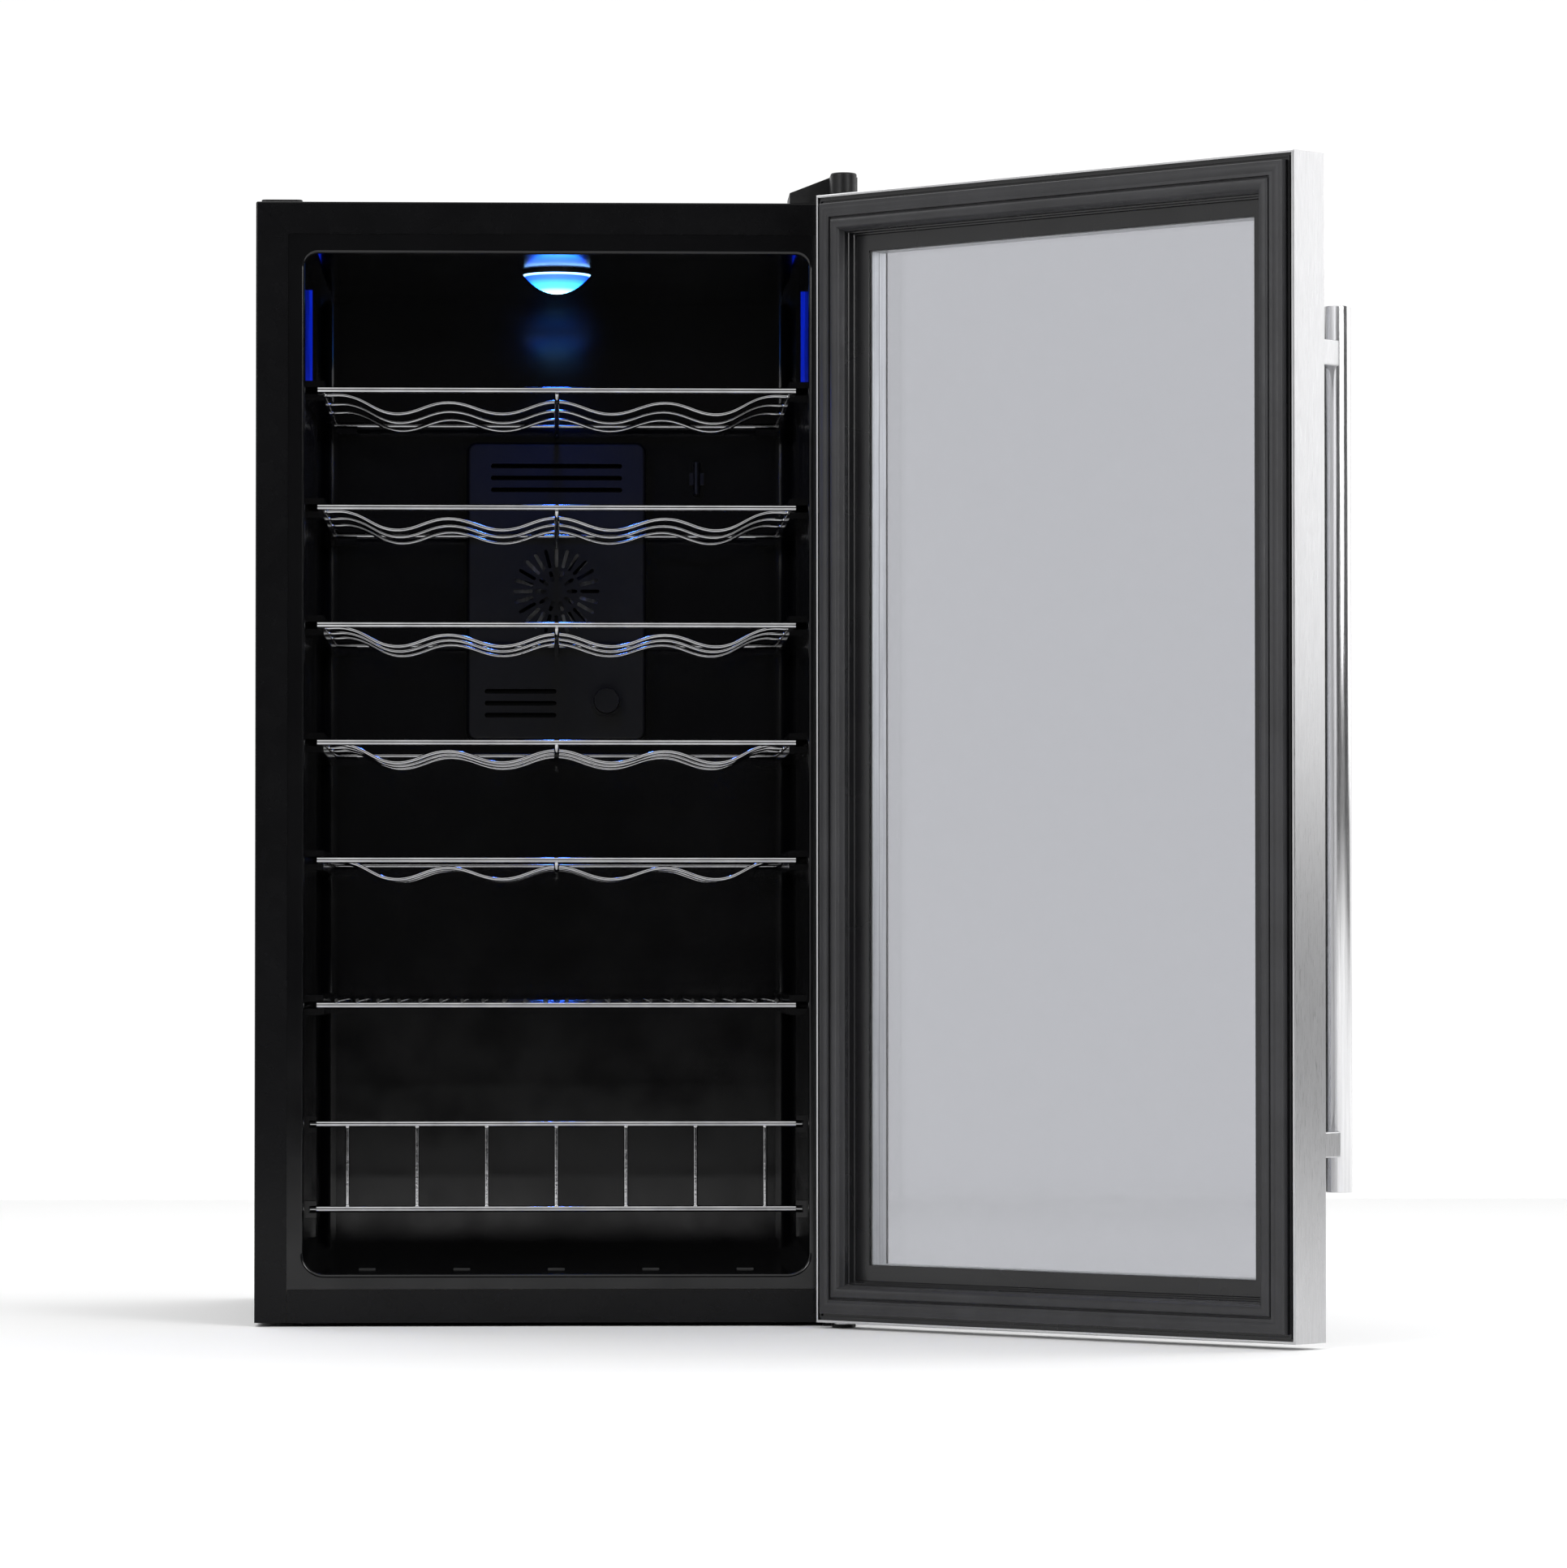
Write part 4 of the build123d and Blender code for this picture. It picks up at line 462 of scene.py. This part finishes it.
# %% [markdown]
# ## Wire
# A shelf is made of straight and bent wires. A curve with a round bevel is the quickest way to a
# clean wire. It is turned into a mesh, and the rims of its two flat ends are bevelled, because
# cut and tumbled wire has soft ends.

# %% Add one wire to a bmesh
def add_wire(bm, points, radius, smooth=False):
    """Sweep a round wire through these points, with softened ends."""
    curve = bpy.data.curves.new("wire", "CURVE")
    curve.dimensions = "3D"
    curve.bevel_depth = radius
    curve.bevel_resolution = 4
    curve.resolution_u = 10
    curve.use_fill_caps = True
    spline = curve.splines.new("BEZIER" if smooth else "POLY")
    if smooth:
        spline.bezier_points.add(len(points) - 1)
        for knot, point in zip(spline.bezier_points, points):
            knot.co = point
            knot.handle_left_type = knot.handle_right_type = "AUTO"
    else:
        spline.points.add(len(points) - 1)
        for knot, point in zip(spline.points, points):
            knot.co = (*point, 1.0)
    holder = bpy.data.objects.new("wire", curve)
    mesh = bpy.data.meshes.new_from_object(holder)
    wire = bmesh.new()
    wire.from_mesh(mesh)
    bmesh.ops.remove_doubles(wire, verts=wire.verts, dist=1e-6)
    rims = {edge for face in wire.faces if len(face.verts) > 4 for edge in face.edges}
    bmesh.ops.bevel(
        wire, geom=list(rims), offset=radius * 0.45, affect="EDGES", segments=3, profile=0.5, material=-1
    )
    bmesh.ops.recalc_face_normals(wire, faces=wire.faces)
    wire.to_mesh(mesh)
    wire.free()
    bm.from_mesh(mesh)
    bpy.data.objects.remove(holder)
    bpy.data.curves.remove(curve)
    bpy.data.meshes.remove(mesh)


# %% [markdown]
# Where two wires cross they are resistance welded: both sink into each other a little and a small
# bead squeezes out. A flattened sphere at each joint is enough.

# %% Add one weld
def add_weld(bm, place, size):
    """A small bead where two wires are welded."""
    bead = Matrix.Translation(place) @ Matrix.Diagonal((1.0, 1.0, 0.8, 1.0))
    bmesh.ops.create_icosphere(bm, subdivisions=2, radius=size, matrix=bead)


# %% [markdown]
# ## The frame of a shelf
# All six shelves have the same outline: a bar across the front and the back, and a rod along each
# side that slides in the liner's rails.

# %% Shelf outline
FRAME_ROD = 0.0025
SIDE_ROD = 0.0022
SHELF_HALF = 0.1875
SIDE_ROD_X = 0.185
WELD_INSET = 0.0022
CORNER_WELD = 0.0027
SIDE_WELD = 0.0024
ROD_WELD = 0.0023
shelf_low, shelf_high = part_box("flat_shelf")
SHELF_FRONT = shelf_low.y + FRAME_ROD
SHELF_BACK = shelf_high.y - FRAME_ROD


def add_shelf_outline(bm, height):
    """Front and back bars, side rods and their welds."""
    for y in (SHELF_FRONT, SHELF_BACK):
        add_wire(bm, [(-SHELF_HALF, y, height), (SHELF_HALF, y, height)], FRAME_ROD)
    for x in (-SIDE_ROD_X, SIDE_ROD_X):
        add_wire(bm, [(x, SHELF_FRONT, height), (x, SHELF_BACK, height)], SIDE_ROD)
        for y in (SHELF_FRONT + WELD_INSET, SHELF_BACK - WELD_INSET):
            add_weld(bm, (x, y, height), CORNER_WELD)


print("shelves run from", round(SHELF_FRONT, 4), "to", round(SHELF_BACK, 4))

# %% [markdown]
# ## Wave shelves
# Three wires across each shelf are bent into cradles for four bottles. The bends are smooth, so the
# wire is a Bezier curve through the bottom of each cradle and the top of each ridge. A spine joins
# the ridges in the middle, and turns up at its ends into the front and back bars.

# %% One wave shelf
WAVE_ROD = 0.0016
SPINE_ROD = 0.0020
SPINE_DROP = 0.0075
PITCH = 0.086
CRADLE = -0.0145
RIDGE = -0.0055
RIDGE_WELD = -0.0062
SHOULDER = (0.1660, -0.0005)
WAVE_SETBACKS = (0.055, 0.147, 0.233)
wave_line = [(0.0, RIDGE + 0.0007)]
for step, level in ((0.5, CRADLE), (1.0, RIDGE), (1.5, CRADLE)):
    wave_line = [(-step * PITCH, level), *wave_line, (step * PITCH, level)]
wave_line = [(-SHOULDER[0], SHOULDER[1]), *wave_line, SHOULDER]
wave_line = [(-SIDE_ROD_X, 0.0), *wave_line, (SIDE_ROD_X, 0.0)]


def wave_shelf(height):
    """A shelf with three wave wires and a spine."""
    bm = bmesh.new()
    add_shelf_outline(bm, height)
    for setback in WAVE_SETBACKS:
        y = SHELF_FRONT + setback
        add_wire(bm, [(x, y, height + z) for x, z in wave_line], WAVE_ROD, smooth=True)
        for side in (-1, 1):
            add_weld(bm, (side * (SIDE_ROD_X - 0.0015), y, height), SIDE_WELD)
        add_weld(bm, (0.0, y, height + RIDGE_WELD), ROD_WELD)
    drop = height - SPINE_DROP
    spine = [(0.0, SHELF_FRONT, height - 0.001), (0.0, SHELF_FRONT + 0.0008, drop + 0.003)]
    spine += [(0.0, SHELF_FRONT + 0.004, drop), (0.0, SHELF_FRONT + 0.04, drop)]
    spine += [(0.0, SHELF_BACK - 0.04, drop), (0.0, SHELF_BACK - 0.004, drop)]
    spine += [(0.0, SHELF_BACK - 0.0008, drop + 0.003), (0.0, SHELF_BACK, height - 0.001)]
    add_wire(bm, spine, SPINE_ROD, smooth=True)
    return bm


for number in range(1, 6):
    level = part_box(f"wave_shelf_{number}")[1].z - FRAME_ROD
    finish_piece(
        f"bottle_shelf_{number}",
        wave_shelf(level),
        chrome,
        f"shelf_{number}",
        "chrome_wire",
        f"wave_shelf_{number}",
        smooth_angle=50,
    )

# %% [markdown]
# ## Flat shelf
# The lowest shelf is a flat grid: many thin wires lie over the bars from front to back, and their
# cut ends show in a row above the front bar.

# %% Flat shelf
WIRE_ROD = 0.0015
WIRE_COUNT = 22
WIRE_PITCH = 0.0164
WIRE_SINK = 0.0003
WIRE_WELD = 0.0016
CROSS_SETBACKS = (0.125, 0.250)
flat_level = shelf_low.z + FRAME_ROD
wire_level = flat_level + FRAME_ROD + WIRE_ROD - WIRE_SINK
flat = bmesh.new()
add_shelf_outline(flat, flat_level)
for setback in CROSS_SETBACKS:
    y = SHELF_FRONT + setback
    add_wire(flat, [(-SIDE_ROD_X, y, flat_level), (SIDE_ROD_X, y, flat_level)], SPINE_ROD)
for i in range(WIRE_COUNT):
    x = (i - (WIRE_COUNT - 1) / 2) * WIRE_PITCH
    add_wire(flat, [(x, shelf_low.y, wire_level), (x, shelf_high.y, wire_level)], WIRE_ROD)
    add_weld(flat, (x, SHELF_FRONT, wire_level - WIRE_ROD), WIRE_WELD)
finish_piece("grid_shelf", flat, chrome, "shelf_6", "chrome_wire", "flat_shelf", smooth_angle=50)

# %% [markdown]
# ## Guard rail
# Two bars and seven uprights keep bottles from rolling out of the bottom. The bars' ends sit in
# lugs on the liner's walls.

# %% Guard rail
rail_low, rail_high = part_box("guard_rail")
RAIL_Y = (rail_low.y + rail_high.y) / 2
UPRIGHT_ROD = 0.00175
UPRIGHT_PITCH = 0.0545
rail = bmesh.new()
rail_levels = (rail_low.z + FRAME_ROD, rail_high.z - FRAME_ROD)
for z in rail_levels:
    add_wire(rail, [(rail_low.x, RAIL_Y, z), (rail_high.x, RAIL_Y, z)], FRAME_ROD)
for i in range(-3, 4):
    x = i * UPRIGHT_PITCH
    add_wire(rail, [(x, RAIL_Y, rail_levels[0]), (x, RAIL_Y, rail_levels[1])], UPRIGHT_ROD)
    for z in (rail_levels[0] + WELD_INSET, rail_levels[1] - WELD_INSET):
        add_weld(rail, (x, RAIL_Y, z), ROD_WELD)
finish_piece("guard_fence", rail, chrome, "guard", "chrome_wire", "guard_rail", smooth_angle=50)


# %% [markdown]
# ## Turned pieces
# The handle's tube and the lamp's lens are round, so each is half a section spun about its axis.
# Points on the axis meet in a pole, which merging closes.

# %% Spin a section
def turned(section, centre, steps):
    """Spin a closed section, given as (radius, height) points, about an upright axis."""
    bm = bmesh.new()
    ring = [bm.verts.new((centre.x + radius, centre.y, height)) for radius, height in section]
    edges = [bm.edges.new((ring[i - 1], ring[i])) for i in range(len(ring))]
    bmesh.ops.spin(
        bm, geom=ring + edges, cent=centre, axis=(0, 0, 1), angle=math.tau, steps=steps, use_merge=True
    )
    bmesh.ops.remove_doubles(bm, verts=bm.verts, dist=1e-6)
    bmesh.ops.dissolve_degenerate(bm, edges=bm.edges, dist=1e-7)
    bmesh.ops.recalc_face_normals(bm, faces=bm.faces)
    return bm


# %% [markdown]
# ## The lens
# It is a shallow dome with fine rings moulded inside it, which scatter the diodes' light. A low
# ripple along the outer line of the section gives the rings.

# %% Lamp lens
LENS_DEPTH = LAMP.z - lamp_low.z
LENS_WALL = 0.002
DOME_POWER = 2.2
RINGS = 9
RING_HEIGHT = 0.00015
lens_section = []
for i in range(RINGS * 4 + 1):
    out = i / (RINGS * 4)
    ripple = RING_HEIGHT * math.sin(out * RINGS * math.tau)
    depth = LENS_DEPTH * (1 - out**DOME_POWER)
    lens_section.append((out * LENS_RADIUS, LAMP.z - max(depth - ripple, 0.0)))
lens_section += [(LENS_RADIUS - LENS_WALL, LAMP.z), (0.0, LAMP.z - LENS_DEPTH + LENS_WALL)]
lens = turned(lens_section, LAMP, 64)
finish_piece("lamp_dome", lens, lens_glow, "cabinet", "lens", "lamp_lens", smooth_angle=60)

# %% [markdown]
# ## The handle
# A thin steel tube with slightly rounded rims. It stands off the door on two posts. Spinning it
# gives a far smoother highlight than a faceted cylinder.

# %% Handle tube
tube_low, tube_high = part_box("handle_tube")
TUBE = Vector(((tube_low.x + tube_high.x) / 2, (tube_low.y + tube_high.y) / 2, 0.0))
TUBE_RADIUS = (tube_high.x - tube_low.x) / 2
TUBE_WALL = 0.0015
RIM = 0.0007
tube_section = [(TUBE_RADIUS - TUBE_WALL, tube_low.z), (TUBE_RADIUS - RIM, tube_low.z)]
tube_section += [(TUBE_RADIUS - 0.3 * RIM, tube_low.z + 0.3 * RIM), (TUBE_RADIUS, tube_low.z + RIM)]
tube_section += [(TUBE_RADIUS, tube_high.z - RIM), (TUBE_RADIUS - 0.3 * RIM, tube_high.z - 0.3 * RIM)]
tube_section += [(TUBE_RADIUS - RIM, tube_high.z), (TUBE_RADIUS - TUBE_WALL, tube_high.z)]
tube = turned(tube_section, TUBE, 72)
finish_piece("handle_bar", tube, handle_steel, "door", "stainless", "handle_tube", smooth_angle=40)

# %% [markdown]
# ## Studio
# The floor is plain and white, and a white wall behind the object shows through the glass. Neither
# is part of the object. The camera's side of the room stays dark, because black plastic shows
# whatever stands in front of it, and metal needs something dark beside something bright. The wall
# is clear from its back, so that the object can be looked at from behind as well.

# %% Floor and wall
FLOOR_HALF = 3.0
WALL_HALF = 8.0
WALL_Y = 2.6
WHITE = (1.0, 1.0, 1.0, 1.0)


def stage_sheet(name, paint, half, place=Matrix()):
    """A flat square of the studio, turned and moved by a matrix."""
    bm = bmesh.new()
    bmesh.ops.create_grid(bm, x_segments=1, y_segments=1, size=half, matrix=place)
    mesh = bpy.data.meshes.new(name)
    bm.to_mesh(mesh)
    bm.free()
    mesh.materials.append(paint)
    sheet = bpy.data.objects.new(name, mesh)
    bpy.context.scene.collection.objects.link(sheet)
    return sheet


floor_paint = new_finish("studio_floor", (0.97, 0.97, 0.97), 0.9, Specular_IOR_Level=0.1)
studio_floor = stage_sheet("studio_floor", floor_paint, FLOOR_HALF)

wall_paint = new_finish("studio_wall", (0.0, 0.0, 0.0), 1.0, Emission_Strength=1.02, Specular_IOR_Level=0.0)
wall_tree = wall_paint.node_tree
wall_front = wall_tree.nodes["Principled BSDF"]
wall_front.inputs["Emission Color"].default_value = WHITE
wall_back = wall_tree.nodes.new("ShaderNodeBsdfTransparent")
wall_side = wall_tree.nodes.new("ShaderNodeNewGeometry")
wall_mix = wall_tree.nodes.new("ShaderNodeMixShader")
wall_tree.links.new(wall_side.outputs["Backfacing"], wall_mix.inputs[0])
wall_tree.links.new(wall_front.outputs["BSDF"], wall_mix.inputs[1])
wall_tree.links.new(wall_back.outputs["BSDF"], wall_mix.inputs[2])
wall_tree.links.new(wall_mix.outputs["Shader"], wall_tree.nodes["Material Output"].inputs["Surface"])
upright = Matrix.Translation((0, WALL_Y, 0)) @ Matrix.Rotation(math.radians(90), 4, "X")
studio_wall = stage_sheet("studio_wall", wall_paint, WALL_HALF, upright)
print("floor", 2 * FLOOR_HALF, "m square, wall at", WALL_Y)


# %% [markdown]
# ## Lights
# A wide soft box overhead lights the floor and the top. Two upright boxes stand to the sides, where
# the steel edge, the handle and the black frames of the open door mirror them. Two more in front
# throw the soft shadows that fall away behind the cooler on both sides.

# %% Soft boxes
def soft_box(name, place, aim, size, power, color=(1.0, 1.0, 1.0)):
    """An area light at a place, turned towards a point."""
    light = bpy.data.lights.new(name, "AREA")
    light.shape = "RECTANGLE"
    light.size, light.size_y = size
    light.energy = power
    light.color = color
    holder = bpy.data.objects.new(name, light)
    holder.location = place
    holder.rotation_euler = (Vector(aim) - Vector(place)).to_track_quat("-Z", "Y").to_euler()
    bpy.context.scene.collection.objects.link(holder)
    return holder


soft_box("top_box", (0.0, -0.8, 3.2), (0.0, -0.8, 0.0), (5.5, 7.5), 140.0)
soft_box("right_box", (3.0, 0.35, 1.5), (0.5, -0.4, 0.6), (1.8, 2.2), 24.0)
soft_box("left_box", (-3.0, -1.0, 1.0), (0.3, -0.4, 0.5), (1.6, 2.6), 11.0)
soft_box("front_left_box", (-2.6, -3.6, 2.0), (0.0, 0.2, 0.2), (1.6, 1.6), 60.0)
soft_box("front_right_box", (2.6, -3.6, 2.0), (0.0, 0.2, 0.2), (1.6, 1.6), 60.0)

# %% [markdown]
# The cooler's own lamp is a blue spot just under its lens, which reaches the walls and the middle of
# each shelf. The liner's glossy side walls also catch its glow beside the top shelf: a dim strip of
# light close to each wall stands in for many bounces between them, which would be slow to trace.

# %% The cooler's lamp
LAMP_BLUE = (0.02, 0.10, 1.0)
LAMP_DROP = 0.014
lamp_light = bpy.data.lights.new("cooler_lamp", "SPOT")
lamp_light.energy = 0.7
lamp_light.spot_size = math.radians(165)
lamp_light.spot_blend = 0.4
lamp_light.color = LAMP_BLUE
lamp_light.shadow_soft_size = 0.012
lamp_holder = bpy.data.objects.new("cooler_lamp", lamp_light)
lamp_holder.location = LAMP - Vector((0.0, 0.0, LENS_DEPTH + LAMP_DROP))
bpy.context.scene.collection.objects.link(lamp_holder)
GLOW_BLUE = (0.004, 0.03, 1.0)
GLOW_SIZE = (0.0056, 0.075)
GLOW_POWER = 0.0010
GLOW_X = 0.1933
GLOW_Y = -0.05
GLOW_DROP = 0.046
for side in (-1, 1):
    glow = Vector((side * GLOW_X, GLOW_Y, LAMP.z - GLOW_DROP))
    soft_box("wall_glow", glow, glow - Vector((0.0, 1.0, 0.0)), GLOW_SIZE, GLOW_POWER, GLOW_BLUE)
print("lamp light at", tuple(round(value, 4) for value in lamp_holder.location))

# %% [markdown]
# ## Room light and tone
# A dim even room keeps shadows open. Looked at directly or through the glass, the same room is
# white, so that every side has a clean backdrop. The plain view transform keeps white white, as in
# a catalogue picture.

# %% World
scene = bpy.context.scene
world = bpy.data.worlds.new("studio")
scene.world = world
world.use_nodes = True
world_tree = world.node_tree
room_light = world_tree.nodes["Background"]
room_light.inputs["Color"].default_value = WHITE
room_light.inputs["Strength"].default_value = 0.06
backdrop = world_tree.nodes.new("ShaderNodeBackground")
backdrop.inputs["Color"].default_value = WHITE
ray = world_tree.nodes.new("ShaderNodeLightPath")
looked_at = world_tree.nodes.new("ShaderNodeMath")
looked_at.operation = "MAXIMUM"
world_mix = world_tree.nodes.new("ShaderNodeMixShader")
world_tree.links.new(ray.outputs["Is Camera Ray"], looked_at.inputs[0])
world_tree.links.new(ray.outputs["Is Transmission Ray"], looked_at.inputs[1])
world_tree.links.new(looked_at.outputs["Value"], world_mix.inputs[0])
world_tree.links.new(room_light.outputs["Background"], world_mix.inputs[1])
world_tree.links.new(backdrop.outputs["Background"], world_mix.inputs[2])
world_tree.links.new(world_mix.outputs["Shader"], world_tree.nodes["World Output"].inputs["Surface"])
scene.view_settings.view_transform = "Standard"
scene.view_settings.look = "None"

# %% [markdown]
# ## Camera
# A long lens stands almost straight in front, low down and a little left of the cabinet's middle,
# and is turned slightly right and up to centre the open door in the picture.

# %% Camera
camera_data = bpy.data.cameras.new("camera")
camera_data.lens = 160.85
camera_data.sensor_width = 36.0
camera_data.clip_end = 60.0
camera = bpy.data.objects.new("camera", camera_data)
camera.location = (-0.0051, -5.701, 0.289)
camera.rotation_euler = (math.radians(91.40), 0.0, math.radians(-1.908))
scene.collection.objects.link(camera)
scene.camera = camera
